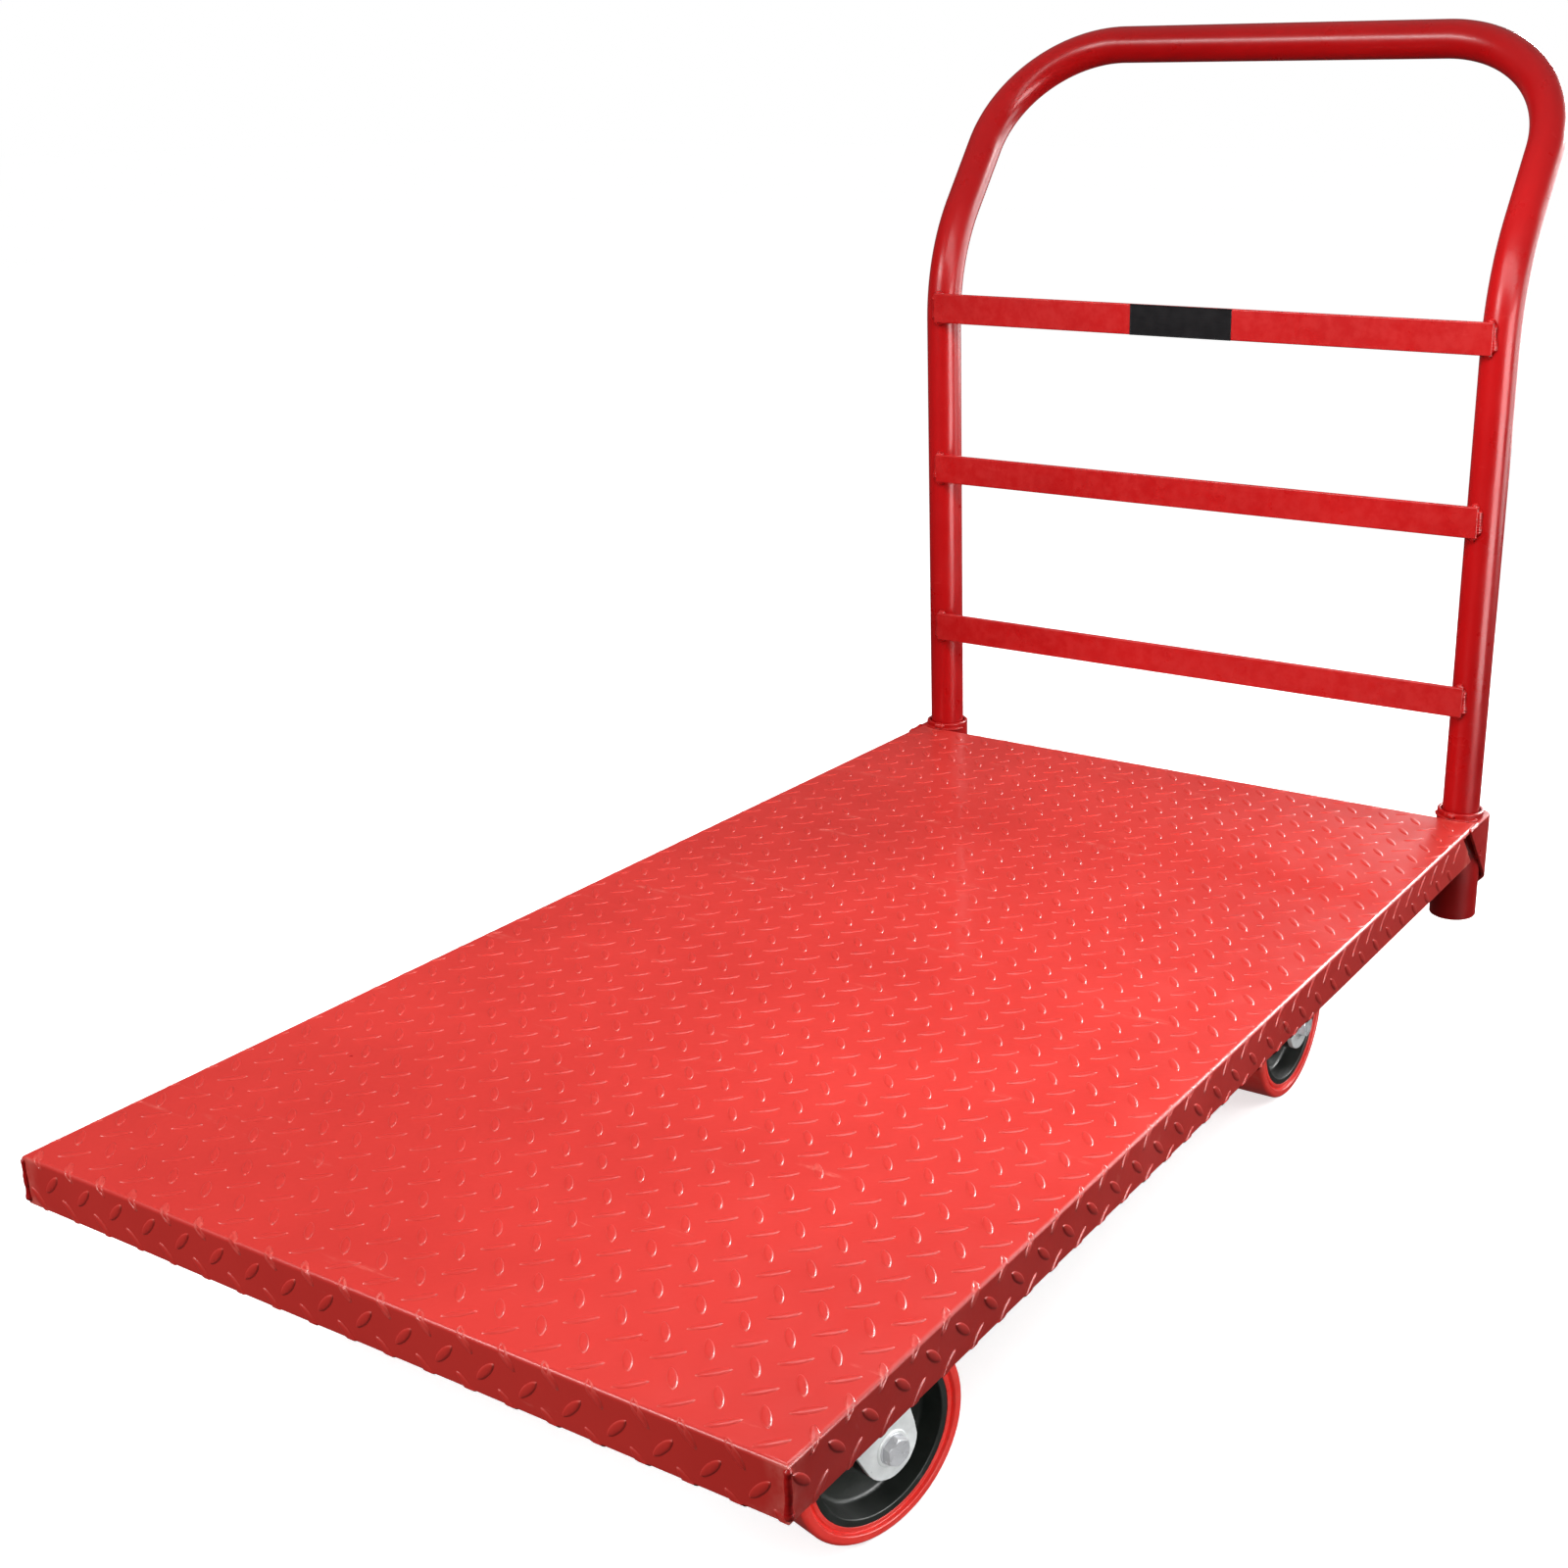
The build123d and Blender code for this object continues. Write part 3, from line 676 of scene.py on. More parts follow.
def cut_corners(sheet):
    """Cuts the flanges back round the sockets and the deck's edge beside each gusset."""
    under, below, above = DECK_TOP - SHEET - NOTCH, DECK_LOW.z - CLEAR, DECK_TOP + CLEAR
    behind = DECK_HIGH.y + CLEAR
    foot = SLOT_FRONT + SLOT_SLOPE * (under - below)
    slanted = (SLOT_FRONT, under), (behind, under), (behind, below), (foot, below)
    beside = (GUSSET_LOW.y, below), (GUSSET_LOW.y, above), (behind, above), (behind, below)
    bore = SOCKET_R + NOTCH
    tools = []
    for side in (LEFT, RIGHT):
        outer = side * (HALF_X + CLEAR)
        for outline, inner in ((slanted, side * (SOCKET_X - bore)), (beside, side * GUSSET_LOW_X)):
            tools.append(cutter([[Vector((x, y, z)) for y, z in outline] for x in (inner, outer)]))
        ring = [Vector((side * SOCKET_X + bore * cos(a), SOCKET_Y + bore * sin(a), 0)) for a in angles(64)]
        tools.append(cutter([[p + UP * z for p in ring] for z in (below, above)]))
    show(sheet)
    for tool in tools:
        cut = sheet.modifiers.new("cut", "BOOLEAN")
        cut.operation = "DIFFERENCE"
        cut.object = tool
    bpy.context.view_layer.update()
    depsgraph = bpy.context.evaluated_depsgraph_get()
    mesh = bpy.data.meshes.new_from_object(sheet.evaluated_get(depsgraph))
    for tool in tools + [sheet]:
        bpy.data.objects.remove(tool)
    return mesh


def past_fold(run, lift):
    """Turns a run past the flat's end into (outward, upward). The press flattens the marks it folds."""
    arc = FOLD * pi / 2
    lift *= min(1.0, 0.2 + abs(run - arc / 2) / (9 * MM))
    if run <= 0:
        return run, lift
    if run < arc:
        angle = run / FOLD
        return (FOLD + lift) * sin(angle), (FOLD + lift) * cos(angle) - FOLD
    return FOLD + lift, -FOLD - (run - arc)


def on_sheet(x, y, lift, along_y):
    """A point of the unfolded sheet, with the folds at its four sides closed."""
    flat_x, flat_y = HALF_X - FOLD, HALF_Y - FOLD
    limit = FOLD * pi / 2 + FLANGE - FOLD - 0.4 * MM
    if along_y:
        run = min(abs(y) - flat_y, limit)
        out, rise = past_fold(run, lift)
        x = max(-HALF_X + 0.2 * MM, min(HALF_X - 0.2 * MM, x))
        stray = sway(x, max(0.0, -rise)) * sin(pi * (x / HALF_X + 1) / 2)
        place = Vector((x, copysign(flat_y + out + (stray if run > 0 else 0), y), rise))
    else:
        run = min(abs(x) - flat_x, limit)
        out, rise = past_fold(run, lift)
        y = max(-HALF_Y + 0.2 * MM, min(HALF_Y - 0.2 * MM, y))
        stray = sway(y, max(0.0, -rise)) * sin(pi * (y / HALF_Y + 1) / 2)
        place = Vector((copysign(flat_x + out + (stray if run > 0 else 0), x), y, rise))
    if run <= 0:
        place.z += sag(x, y)
    return place + ON_DECK


def tread_mark(shape, cx, cy, angle, along_y):
    """One raised lens of the tread pattern: bevelled sides up to a low crowned ridge."""
    half_long, half_wide, height = 11.6 * MM, 3.5 * MM, 0.95 * MM
    count = 20
    levels = [(1.0, 1.0, -0.25 * MM), (0.99, 0.97, 0.1 * MM)]
    levels += [(0.93, 0.78, height * 0.62), (0.84, 0.55, height * 0.9)]
    rings = []
    for long_share, wide_share, lift in levels:
        ring = []
        for a in angles(count):
            p = half_long * long_share * cos(a)
            q = half_wide * wide_share * copysign(abs(sin(a)) ** 1.25, sin(a))
            x, y = cx + p * cos(angle) - q * sin(angle), cy + p * sin(angle) + q * cos(angle)
            ring.append(on_sheet(x, y, lift, along_y))
        rings.append(ring)
    top = on_sheet(cx, cy, height, along_y)
    points, faces = loft(rings, capped=False)
    centre = len(points)
    last = (len(rings) - 1) * count
    points.append(top)
    faces += [[last + k, last + (k + 1) % count, centre] for k in range(count)]
    shape.add(points, faces)


def tread_pattern():
    """Two crossed families of marks on a square lattice that runs on over the folds."""
    shape = Shape()
    pitch, turn = 35.2 * MM, radians(-0.75)
    start = Vector((87.0 * MM, 215.8 * MM))
    step_a = Vector((cos(turn), sin(turn))) * pitch
    step_b = Vector((-sin(turn), cos(turn))) * pitch
    flat_x, flat_y = HALF_X - FOLD, HALF_Y - FOLD
    reach = FOLD * pi / 2 + FLANGE - FOLD
    for i in range(-17, 16):
        for j in range(-30, 16):
            for family in (0, 1):
                place = start + step_a * (i + family / 2) + step_b * (j + family / 2)
                past_x, past_y = abs(place.x) - flat_x, abs(place.y) - flat_y
                if (past_x > 0 and past_y > 0) or past_x > reach + 4 * MM or past_y > reach + 4 * MM:
                    continue
                if not tread_clear(place, past_x, past_y):
                    continue
                lean = turn + radians(47 if family == 0 else -47)
                tread_mark(shape, place.x, place.y, lean, past_y > past_x)
    return shape


def tread_clear(place, past_x, past_y):
    """False where the sheet is cut back at its rear corners."""
    socket = Vector((SOCKET_X, SOCKET_Y)) - Vector((abs(place.x), place.y + DECK_MIDDLE.y))
    if socket.length < SOCKET_R + 13 * MM:
        return False
    y = place.y + DECK_MIDDLE.y
    if past_x > 4 * MM and y > SLOT_FRONT - 9 * MM:
        return False
    if past_x > -10 * MM and y > GUSSET_LOW.y - 12 * MM:
        return False
    return not (past_y > -4 * MM and place.y > 0 and abs(place.x) > SOCKET_X - SOCKET_R - 10 * MM)


def make_deck():
    mesh = cut_corners(deck_sheet())
    shape = tread_pattern()
    shape.add([v.co.copy() for v in mesh.vertices], [list(p.vertices) for p in mesh.polygons])
    bpy.data.meshes.remove(mesh)
    shape.place("tread_deck", "deck_frame", "deck_paint", ("deck_plate",), sharp=32)


def make_corner_welds():
    """Seams down the two front corners, where the folded flanges meet."""
    shape = Shape()
    for side in (LEFT, RIGHT):
        corner = Vector((side * (HALF_X - 0.9 * MM), DECK_LOW.y + 0.9 * MM, 0))
        path = [corner + UP * (DECK_TOP - 2.0 * MM), corner + UP * (DECK_LOW.z + 1.5 * MM)]
        shape.add(*weld(path, 2.3 * MM, 11 + side, 0.006))
    shape.place("front_corner_welds", "deck_frame", "frame_paint", sharp=60)


# -------- cross channels under the deck
def make_channel(name, seed):
    low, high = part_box(name)
    wall, bend, tip, weld_half = 3.0 * MM, 5.0 * MM, 0.5 * MM, 17 * MM
    outline = [(low.y, high.z), (low.y, low.z), (high.y, low.z), (high.y, high.z)]
    outline += [(high.y - wall, high.z), (high.y - wall, low.z + wall)]
    outline += [(low.y + wall, low.z + wall), (low.y + wall, high.z)]
    outline = rounded_outline(outline, [tip, bend, bend, tip, tip, bend - wall, bend - wall, tip], 5)
    stations = (low.x, low.x + 0.4 * MM, high.x - 0.4 * MM, high.x)
    shape = Shape().add(*loft([[Vector((x, p.x, p.y)) for p in outline] for x in stations]))
    z = DECK_TOP - SHEET - 0.6 * MM
    for k in range(5):
        x = low.x + (high.x - low.x) * (0.1 + 0.2 * k)
        for y in (low.y, high.y):
            ends = [Vector((x - weld_half, y, z)), Vector((x + weld_half, y, z))]
            shape.add(*weld(ends, 2.4 * MM, seed + 2 * k + y))
    shape.place(name + "_looks", "deck_frame", "frame_paint", (name,), sharp=42)


# -------- sockets and gussets
def make_socket(side_name, side):
    """Pipe on end, welded to the deck round its front and to the rear flange at its inner side."""
    node = f"{side_name}_handle_socket"
    low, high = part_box(node)
    centre = Vector(((low.x + high.x) / 2, (low.y + high.y) / 2, 0))
    outer = (high.x - low.x) / 2
    wall = 3.7 * MM
    corners = [(outer - wall, low.z), (outer, low.z), (outer, high.z), (outer - wall, high.z)]
    profile = rounded_outline(corners, [0.6 * MM, 2.0 * MM, 1.4 * MM, 0.8 * MM], 5)
    shape = Shape().add(*lathe(profile, centre, UP, ACROSS, 96))

    def round_front(degrees, radius, z):
        turns = [radians(x) for x in degrees]
        return [centre + Vector((sin(a) * side * radius, -cos(a) * radius, z)) for a in turns]

    seam = round_front(range(-80, 66, 8), outer + 0.2 * MM, DECK_TOP + 0.4 * MM)
    shape.add(*weld(seam, 1.6 * MM, 20 + side))
    tack = round_front((-24, -14, -4, 6), outer, high.z - 2.2 * MM)
    shape.add(*weld(tack, 2.6 * MM, 30 + side, 4 * MM))
    seam_y = DECK_HIGH.y - 0.5 * MM
    start = centre + Vector((-side * (outer - 1.0 * MM), seam_y - centre.y, DECK_TOP - 12 * MM))
    shape.add(*weld([start, start - UP * 24 * MM], 2.4 * MM, 40 + side))
    shape.place(f"{side_name}_socket_looks", "deck_frame", "frame_paint", (node,), sharp=50)


def top_leaf(side, outer_x, high, bend, plate):
    """Outline of the leaf round the socket's rim: its outer corner and its bite are arcs."""
    reach = SOCKET_Y - DECK_HIGH.y
    front = asin(reach / SOCKET_R)
    bite = [pi / 2 - (pi / 2 + front) * k / 20 for k in range(21)]
    corner = [pi / 2 * k / 6 for k in range(7)]
    outline = [(SOCKET_X + SOCKET_R * cos(a), SOCKET_Y + SOCKET_R * sin(a)) for a in bite]
    outline.append((abs(outer_x), DECK_HIGH.y))
    outline += [(abs(outer_x) - bend * (1 - cos(a)), high.y - bend * (1 - sin(a))) for a in corner]
    outline.append((SOCKET_X, high.y))
    return [Vector((side * x, y, high.z - plate)) for x, y in outline]


def make_gusset(side_name, side):
    """Folded corner plate: one outline for each leaf, and a rounded fold between them."""
    node = f"{side_name}_corner_gusset"
    low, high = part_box(node)
    outer_x = high.x if side > 0 else low.x
    inner_x = side * SOCKET_X
    plate, bend, tuck = 3.0 * MM, 14.0 * MM, 1.5 * MM
    toe, heel, foot, lip = 4 * MM, 66 * MM, 12 * MM, 0.4 * MM
    fold = Vector((outer_x - side * bend, high.y - bend, 0))
    side_leaf = [(low.y, lip), (DECK_HIGH.y, lip), (DECK_HIGH.y, tuck), (high.y - bend, tuck)]
    side_leaf += [(high.y - bend, heel), (SOCKET_Y + foot, heel), (low.y, toe)]
    side_leaf = [Vector((outer_x, y, high.z - drop)) for y, drop in side_leaf]
    shape = Shape().add_bmesh(slab(side_leaf, ACROSS * (-side * plate), 0.6 * MM))
    rings = []
    for k in range(9):
        a = pi / 2 * k / 8
        out = Vector((side * cos(a), sin(a), 0))
        drop = heel + (high.z - low.z - heel) * k / 8
        section = (bend, tuck), (bend, drop), (bend - plate, drop), (bend - plate, tuck)
        rings.append([fold + out * radius + UP * (high.z - down) for radius, down in section])
    shape.add(*loft(rings))
    rear = [(fold.x, high.z - tuck), (inner_x, high.z - tuck), (inner_x, low.z), (fold.x, low.z)]
    shape.add_bmesh(slab([Vector((x, high.y, z)) for x, z in rear], ALONG * -plate, 0.6 * MM))
    shape.add_bmesh(slab(top_leaf(side, outer_x, high, bend, plate), UP * plate, 1.3 * MM, 3))
    bead_x, bead_z = outer_x - side * 2.2 * MM, high.z - 1.2 * MM
    bead = [Vector((bead_x, y, bead_z)) for y in (low.y + 1 * MM, DECK_HIGH.y + 2 * MM)]
    shape.add(*weld(bead, 1.9 * MM, 50 + side, 7 * MM))
    touch = Vector((side * (SOCKET_X + SOCKET_R - 0.4 * MM), SOCKET_Y - 7 * MM, 0))
    shape.add(*weld([touch + UP * (high.z - 4 * MM), touch + UP * (high.z - 44 * MM)], 2.5 * MM, 60 + side))
    under = Vector((inner_x + side * 3 * MM, high.y - plate, 0))
    shape.add(*weld([under + UP * (high.z - 8 * MM), under + UP * (low.z + 8 * MM)], 2.4 * MM, 70 + side))
    shape.place(f"{side_name}_gusset_looks", "deck_frame", "frame_paint", (node,), sharp=40)


# -------- handle
TUBE_LOW, TUBE_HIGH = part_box("handle_tube")
TUBE_R = 19.05 * MM
TUBE_X, TUBE_Y = TUBE_HIGH.x - TUBE_R, TUBE_LOW.y + TUBE_R
BAR_Y, BAR_Z = TUBE_HIGH.y - TUBE_R, TUBE_HIGH.z - TUBE_R
LEAN = radians(38.15)
BEND_Z = BAR_Z - (BAR_Y - TUBE_Y) / tan(LEAN)


def make_handle():
    """One bent tube: two legs that lean back at the top, and the bar between them."""
    leg_bend, bar_bend, wall = 197 * MM, 133.5 * MM, 2.0 * MM
    corners = [(-TUBE_X, TUBE_Y, TUBE_LOW.z), (-TUBE_X, TUBE_Y, BEND_Z), (-TUBE_X, BAR_Y, BAR_Z)]
    corners += [(-x, y, z) for x, y, z in corners[::-1]]
    path = rounded_path(corners, [leg_bend, bar_bend, bar_bend, leg_bend], 4 * MM)
    fine = subdivided(path, 12 * MM)
    outside = sweep(fine, lambda s: TUBE_R, 64)
    inside = sweep(fine, lambda s: TUBE_R - wall, 64)
    shape = Shape().add(*loft(outside + inside[::-1] + [outside[0]], capped=False))
    shape.place("bent_handle", "push_handle", "handle_paint", ("handle_tube",), sharp=50)


def make_slat(name, seed):
    """Flat bar with rolled edges, its ends welded to the fronts of both legs."""
    low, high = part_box(name)
    shape = Shape().add_bmesh(rounded_box(low, high, 1.3 * MM))
    for side in (LEFT, RIGHT):
        end_x = side * (high.x - 0.2 * MM)
        y = TUBE_LOW.y - 0.6 * MM
        down = [Vector((end_x, y, high.z - 2 * MM)), Vector((end_x, y, low.z + 2 * MM))]
        if (seed + side) % 2:
            down.reverse()
        shape.add(*weld(down, 3.1 * MM, seed + side * 3))
        for edge, turn in ((high.z, 1), (low.z, -1)):
            near, z = side * (high.x - 9 * MM), edge - turn * 0.3 * MM
            run = [Vector((near, y + 0.8 * MM, z)), Vector((end_x, y, z))]
            shape.add(*weld(run, 2.3 * MM, seed * 7 + side + turn))
    shape.place(name + "_looks", "push_handle", "handle_paint", (name,), sharp=50)


def make_name_plate():
    """Blank plate with a thin raised border."""
    low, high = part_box("name_plate")
    shape = Shape().add_bmesh(rounded_box(low, high, 0.35 * MM, 2))
    border, rise = 1.3 * MM, 0.35 * MM
    for left, bottom, right, top in (
        (low.x, low.z, high.x, low.z + border),
        (low.x, high.z - border, high.x, high.z),
        (low.x, low.z, low.x + border, high.z),
        (high.x - border, low.z, high.x, high.z),
    ):
        shape.add_bmesh(rounded_box((left, low.y - rise, bottom), (right, low.y + rise, top), 0.25 * MM, 2))
    shape.place("blank_plate", "push_handle", "plate_black", ("name_plate",), sharp=50)


# -------- casters
WHEEL_R = 76.2 * MM
TRAIL = 41.0 * MM
MOUNT_PLATE = 6.0 * MM
LEG_SHEET = 5.0 * MM
LEG_OUT = 33.5 * MM
FOOT = 24.0 * MM
# height of the fork's crown, and how far it reaches ahead and behind
SWIVEL_CROWN = 171.5 * MM, 36.0 * MM, 40.0 * MM
FIXED_CROWN = 184.5 * MM, 37.0 * MM, 37.0 * MM


class Caster:
    """One caster's axes: out along its axle, ahead along its roll, and its two centres."""

    def __init__(self, name, side, fork_body, yaw=0.0, trail=0.0):
        self.name, self.side, self.trail, self.swivel = name, side, trail, trail > 0
        self.fork_body, self.wheel_body = fork_body, f"{name}_wheel"
        turn = radians(yaw)
        self.axle = Vector((cos(turn), sin(turn), 0))
        self.roll = Vector((-sin(turn), cos(turn), 0))
        self.plate_low, self.plate_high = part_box(f"{name}_top_plate")
        middle = (self.plate_low + self.plate_high) / 2
        self.plate = Vector((middle.x, middle.y, 0))
        self.wheel = self.plate + self.roll * trail + UP * WHEEL_R

    def at(self, across, ahead, height):
        return self.plate + self.axle * across + self.roll * ahead + UP * height


CASTERS = [
    Caster("front_left", LEFT, "front_left_swivel", trail=TRAIL),
    Caster("front_right", RIGHT, "front_right_swivel", yaw=-14.2, trail=TRAIL),
    Caster("rear_left", LEFT, "deck_frame"),
    Caster("rear_right", RIGHT, "deck_frame"),
]


def leg_reach(height, crown_front, crown_rear, crown_height, trail):
    """How far the leg reaches behind and ahead at a height: a foot circle hulled to the crown."""
    behind, ahead = trail, trail
    for k in range(97):
        a = pi * k / 96
        foot_z = WHEEL_R - FOOT * cos(a)
        foot_r = FOOT * sin(a)
        if foot_z > height:
            break
        share = min(1.0, (height - foot_z) / max(crown_height - foot_z, 1e-6))
        ahead = max(ahead, (trail + foot_r) * (1 - share) + crown_rear * share)
        behind = min(behind, (trail - foot_r) * (1 - share) - crown_front * share)
    return behind, ahead


def make_fork(caster):
    """Yoke pressed from one strip: leg, bend, crown, bend, leg. A raised boss rings each axle hole."""
    crown, crown_front, crown_rear = SWIVEL_CROWN if caster.swivel else FIXED_CROWN
    bend, soft = 7.0 * MM, 0.9 * MM
    under = crown - LEG_SHEET
    leg = [WHEEL_R - FOOT + FOOT * (1 - cos(radians(a))) for a in range(9, 91, 9)]
    leg += [WHEEL_R + (crown - bend - WHEEL_R) * k / 8 for k in range(1, 9)]
    stations = [(-LEG_OUT, z, -1.0, 0.0) for z in leg]
    for k in range(1, 9):
        a = pi / 2 * k / 8
        stations.append((-LEG_OUT + bend * (1 - cos(a)), crown - bend + bend * sin(a), -cos(a), sin(a)))
    stations += [(-out, z, -nx, nz) for out, z, nx, nz in stations[::-1]]
    rings = []
    for out, z, normal_x, normal_z in stations:
        behind, ahead = leg_reach(min(z, under), crown_front, crown_rear, under, caster.trail)
        section = [(behind, 0), (ahead, 0), (ahead, -LEG_SHEET), (behind, -LEG_SHEET)]
        section = rounded_outline(section, min(soft, (ahead - behind) * 0.2), 3)
        rings.append([caster.at(out + normal_x * p.y, p.x, z + normal_z * p.y) for p in section])
    shape = Shape().add(*loft(rings))
    boss = [(9.0 * MM, 0), (14.5 * MM, 0), (13.2 * MM, 1.3 * MM), (9.0 * MM, 1.3 * MM)]
    boss = rounded_outline(boss, [0.1 * MM, 0.4 * MM, 0.8 * MM, 0.1 * MM], 3)
    for end in (LEFT, RIGHT):
        centre = caster.wheel + caster.axle * (end * (LEG_OUT - 0.3 * MM))
        shape.add(*lathe([(r, a * end) for r, a in boss], centre, caster.axle, caster.roll, 72))
    shape.place(f"{caster.name}_yoke", caster.fork_body, "caster_zinc", (f"{caster.name}_fork",), sharp=42)


def make_axle_hardware(caster):
    """Hexagon bolt through fork and wheel, its threaded end and nut, and a washer under each."""
    name, out = caster.name, caster.axle * caster.side
    flats = 19.0 * MM
    washer = [(2 * MM, 0), (11.6 * MM, 0), (11.6 * MM, 1.8 * MM), (2 * MM, 1.8 * MM)]
    washer = rounded_outline(washer, 0.5 * MM, 3)
    head_at = caster.wheel + out * (LEG_OUT + 1.0 * MM)
    head = Shape().add(*hexagon_form(head_at, out, caster.roll, flats, 7.0 * MM, 1.6 * MM))
    head.add(*lathe(washer, caster.wheel + out * (LEG_OUT - 0.4 * MM), out, caster.roll, 64))
    tail, thread, pitch = -(LEG_OUT + 13.0 * MM), 14 * MM, 1.35 * MM
    shank = [(0.5 * MM, LEG_OUT), (6.35 * MM, LEG_OUT), (6.35 * MM, tail + thread)]
    for k in range(9):
        a = tail + thread - (k + 0.5) * pitch
        shank += [(5.8 * MM, a + 0.3 * MM), (6.3 * MM, a)]
    shank += [(5.2 * MM, tail), (0.5 * MM, tail)]
    head.add(*lathe(shank, caster.wheel, out, caster.roll, 48))
    head.place(f"{name}_axle_bolt_looks", caster.fork_body, "bolt_zinc", (f"{name}_axle_bolt",), sharp=32)
    nut_at = caster.wheel - out * (LEG_OUT + 0.8 * MM)
    nut = Shape().add(*hexagon_form(nut_at, -out, caster.roll, flats, 9.2 * MM, 1.5 * MM, sides_both=True))
    nut.add(*lathe(washer, caster.wheel - out * (LEG_OUT - 0.4 * MM), -out, caster.roll, 64))
    nut.place(f"{name}_axle_nut_looks", caster.fork_body, "bolt_zinc", (f"{name}_axle_nut",), sharp=32)


def make_wheel(caster):
    """Cast tyre with soft shoulders, a groove and a lip, on a dished iron centre."""
    name, body = caster.name, caster.wheel_body
    half, edge, groove = 25.4 * MM, 23.8 * MM, 22.0 * MM
    tyre = [(62.5 * MM, edge, 0.3), (65.6 * MM, edge, 0.8), (66.2 * MM, groove, 0.5)]
    tyre += [(67.8 * MM, groove, 0.5), (68.6 * MM, half, 1.0), (WHEEL_R, half, 6.5)]
    tread = Shape().add(*lathe(both_sides(tyre, 7), caster.wheel, caster.axle, caster.roll, 160))
    seam = [(76.0, -0.7), (76.2, -0.25), (76.2, 0.25), (76.0, 0.7), (75.5, 0)]
    seam = [(r * MM, a * MM) for r, a in seam]
    tread.add(*lathe(seam, caster.wheel, caster.axle, caster.roll, 160))
    tread.place(f"{name}_tyre", body, "tread_polyurethane", (f"{name}_tread",), sharp=45)
    hub, rim, web = 27.7 * MM, 23.5 * MM, 6.0 * MM
    dish = [(16.9 * MM, hub, 0.6), (24.4 * MM, hub, 1.6), (25.4 * MM, web + 2 * MM, 2.5)]
    dish += [(31.0 * MM, web, 3.5), (52.5 * MM, web, 4.0), (57.2 * MM, rim, 1.0), (62.6 * MM, rim, 0.6)]
    core = Shape().add(*lathe(both_sides(dish, 6), caster.wheel, caster.axle, caster.roll, 128))
    core.place(f"{name}_centre", body, "wheel_core_black", (f"{name}_wheel_core",), sharp=45)


def make_top_plate(caster):
    """Bolted plate. On a swivel caster it is pressed into the upper race."""
    low, high = caster.plate_low, caster.plate_high
    base = high.z - MOUNT_PLATE
    corners = [(low.x, low.y), (high.x, low.y), (high.x, high.y), (low.x, high.y)]
    outline = [Vector((p.x, p.y, base)) for p in rounded_outline(corners, 8 * MM, 6)]
    shape = Shape().add_bmesh(slab(outline, UP * MOUNT_PLATE, 0.9 * MM, 3))
    if caster.swivel:
        inner, outer, top = 20 * MM, 38 * MM, base + 0.5 * MM
        race = [(inner, low.z), (outer, low.z), (outer, top), (inner, top)]
        race = rounded_outline(race, [0.5 * MM, 2.2 * MM, 0.2 * MM, 0.2 * MM], 5)
        shape.add(*lathe(race, caster.plate, UP, ACROSS, 96))
    shape.place(f"{caster.name}_mount", "deck_frame", "caster_zinc", (f"{caster.name}_top_plate",), sharp=40)


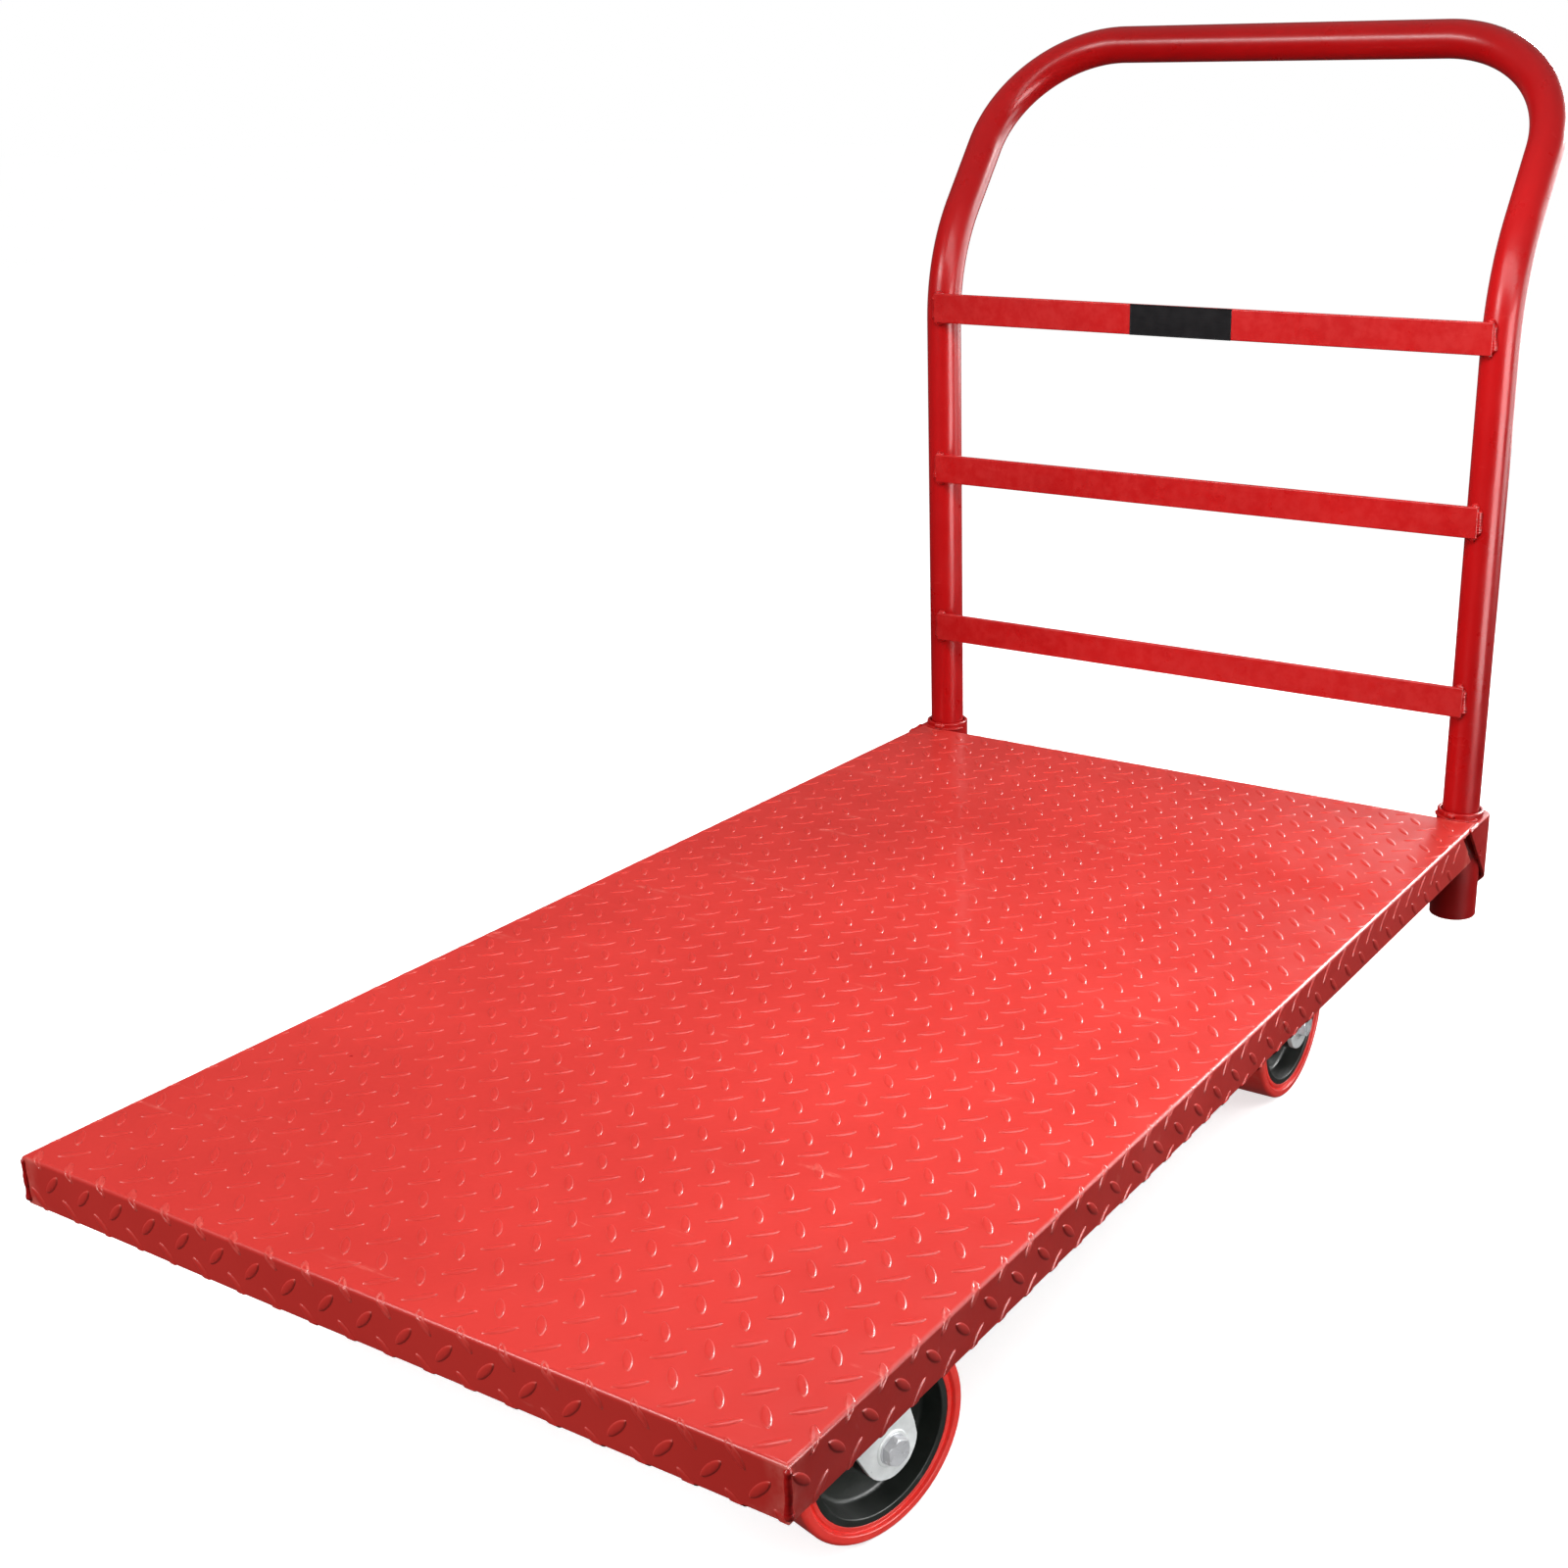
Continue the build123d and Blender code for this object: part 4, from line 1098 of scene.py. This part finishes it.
def make_plate_fasteners():
    """Bolts up through each plate's four corners, and nuts on the channel above, each turned its own way."""
    heads, nuts = Shape(), Shape()
    step_x, step_y = 66.7 * MM / 2, 92.1 * MM / 2
    flats, chamfer, channel_wall = 14.3 * MM, 1.2 * MM, 3.0 * MM
    stem = [(0.4, 0), (4.7, 0), (4.7, 19.0), (4.2, 19.3), (0.4, 19.3)]
    stem = [(r * MM, a * MM) for r, a in stem]
    for caster in CASTERS:
        for sx, sy in ((LEFT, LEFT), (LEFT, RIGHT), (RIGHT, LEFT), (RIGHT, RIGHT)):
            top = caster.plate_high.z
            base = caster.plate + Vector((sx * step_x, sy * step_y, top - MOUNT_PLATE))
            over = caster.plate + Vector((sx * step_x, sy * step_y, top + channel_wall))
            turn = 0.9 * noise.noise(base * 37.0) * pi
            spoke = Vector((cos(turn), sin(turn), 0))
            heads.add(*hexagon_form(base, -UP, spoke, flats, 6.4 * MM, chamfer))
            nuts.add(*hexagon_form(over, UP, spoke, flats, 8.3 * MM, chamfer, sides_both=True))
            heads.add(*lathe(stem, base, UP, ACROSS, 24))
    heads.place("plate_bolts_looks", "deck_frame", "bolt_zinc", ("caster_plate_bolts",), sharp=32)
    nuts.place("plate_nuts_looks", "deck_frame", "bolt_zinc", ("caster_plate_nuts",), sharp=32)


# -------- the whole truck
def finish_carried_nodes():
    """CAD nodes that show as they are: each takes the finish of what it is made of."""
    kinds = {"socket_stop_ring": "frame_paint", "kingpin": "bolt_zinc", "king_nut": "bolt_zinc"}
    kinds |= dict.fromkeys(("lower_race", "race_balls", "axle_sleeve", "hub_rollers"), "bearing_steel")
    for name, node in frame["nodes"].items():
        if not node.hide_render:
            slot = next((s for kind, s in kinds.items() if kind in name), "caster_zinc")
            node.data.materials.clear()
            node.data.materials.append(FINISHES[slot])


def light_casters_only():
    """The low light reaches the casters and nothing else, so the flanges above them keep their own shade."""
    casters = bpy.data.collections.new("casters_in_low_light")
    names = tuple(f"{caster.name}_" for caster in CASTERS)
    for piece in bpy.context.scene.objects:
        if piece.type == "MESH" and piece.name.startswith(names):
            casters.objects.link(piece)
    bpy.data.objects["low_fill"].light_linking.receiver_collection = casters


def make_floor():
    mesh = bpy.data.meshes.new("floor")
    half = 30.0
    corners = [(-half, -half, 0), (half, -half, 0), (half, half, 0), (-half, half, 0)]
    mesh.from_pydata(corners, [], [(0, 1, 2, 3)])
    mesh.materials.append(floor_finish("pale_floor"))
    floor = bpy.data.objects.new("floor", mesh)
    floor.visible_diffuse = False
    floor.visible_glossy = False
    show(floor)


make_floor()
make_deck()
make_corner_welds()
for number, channel in enumerate(("front_cross_channel", "middle_cross_channel", "rear_cross_channel")):
    make_channel(channel, 100 + 20 * number)
for side_name, side in (("left", LEFT), ("right", RIGHT)):
    make_socket(side_name, side)
    make_gusset(side_name, side)
make_handle()
for number, slat in enumerate(("lower_slat", "middle_slat", "upper_slat")):
    make_slat(slat, 5 + 6 * number)
make_name_plate()
for caster in CASTERS:
    make_fork(caster)
    make_axle_hardware(caster)
    make_wheel(caster)
    make_top_plate(caster)
make_plate_fasteners()
finish_carried_nodes()
light_casters_only()
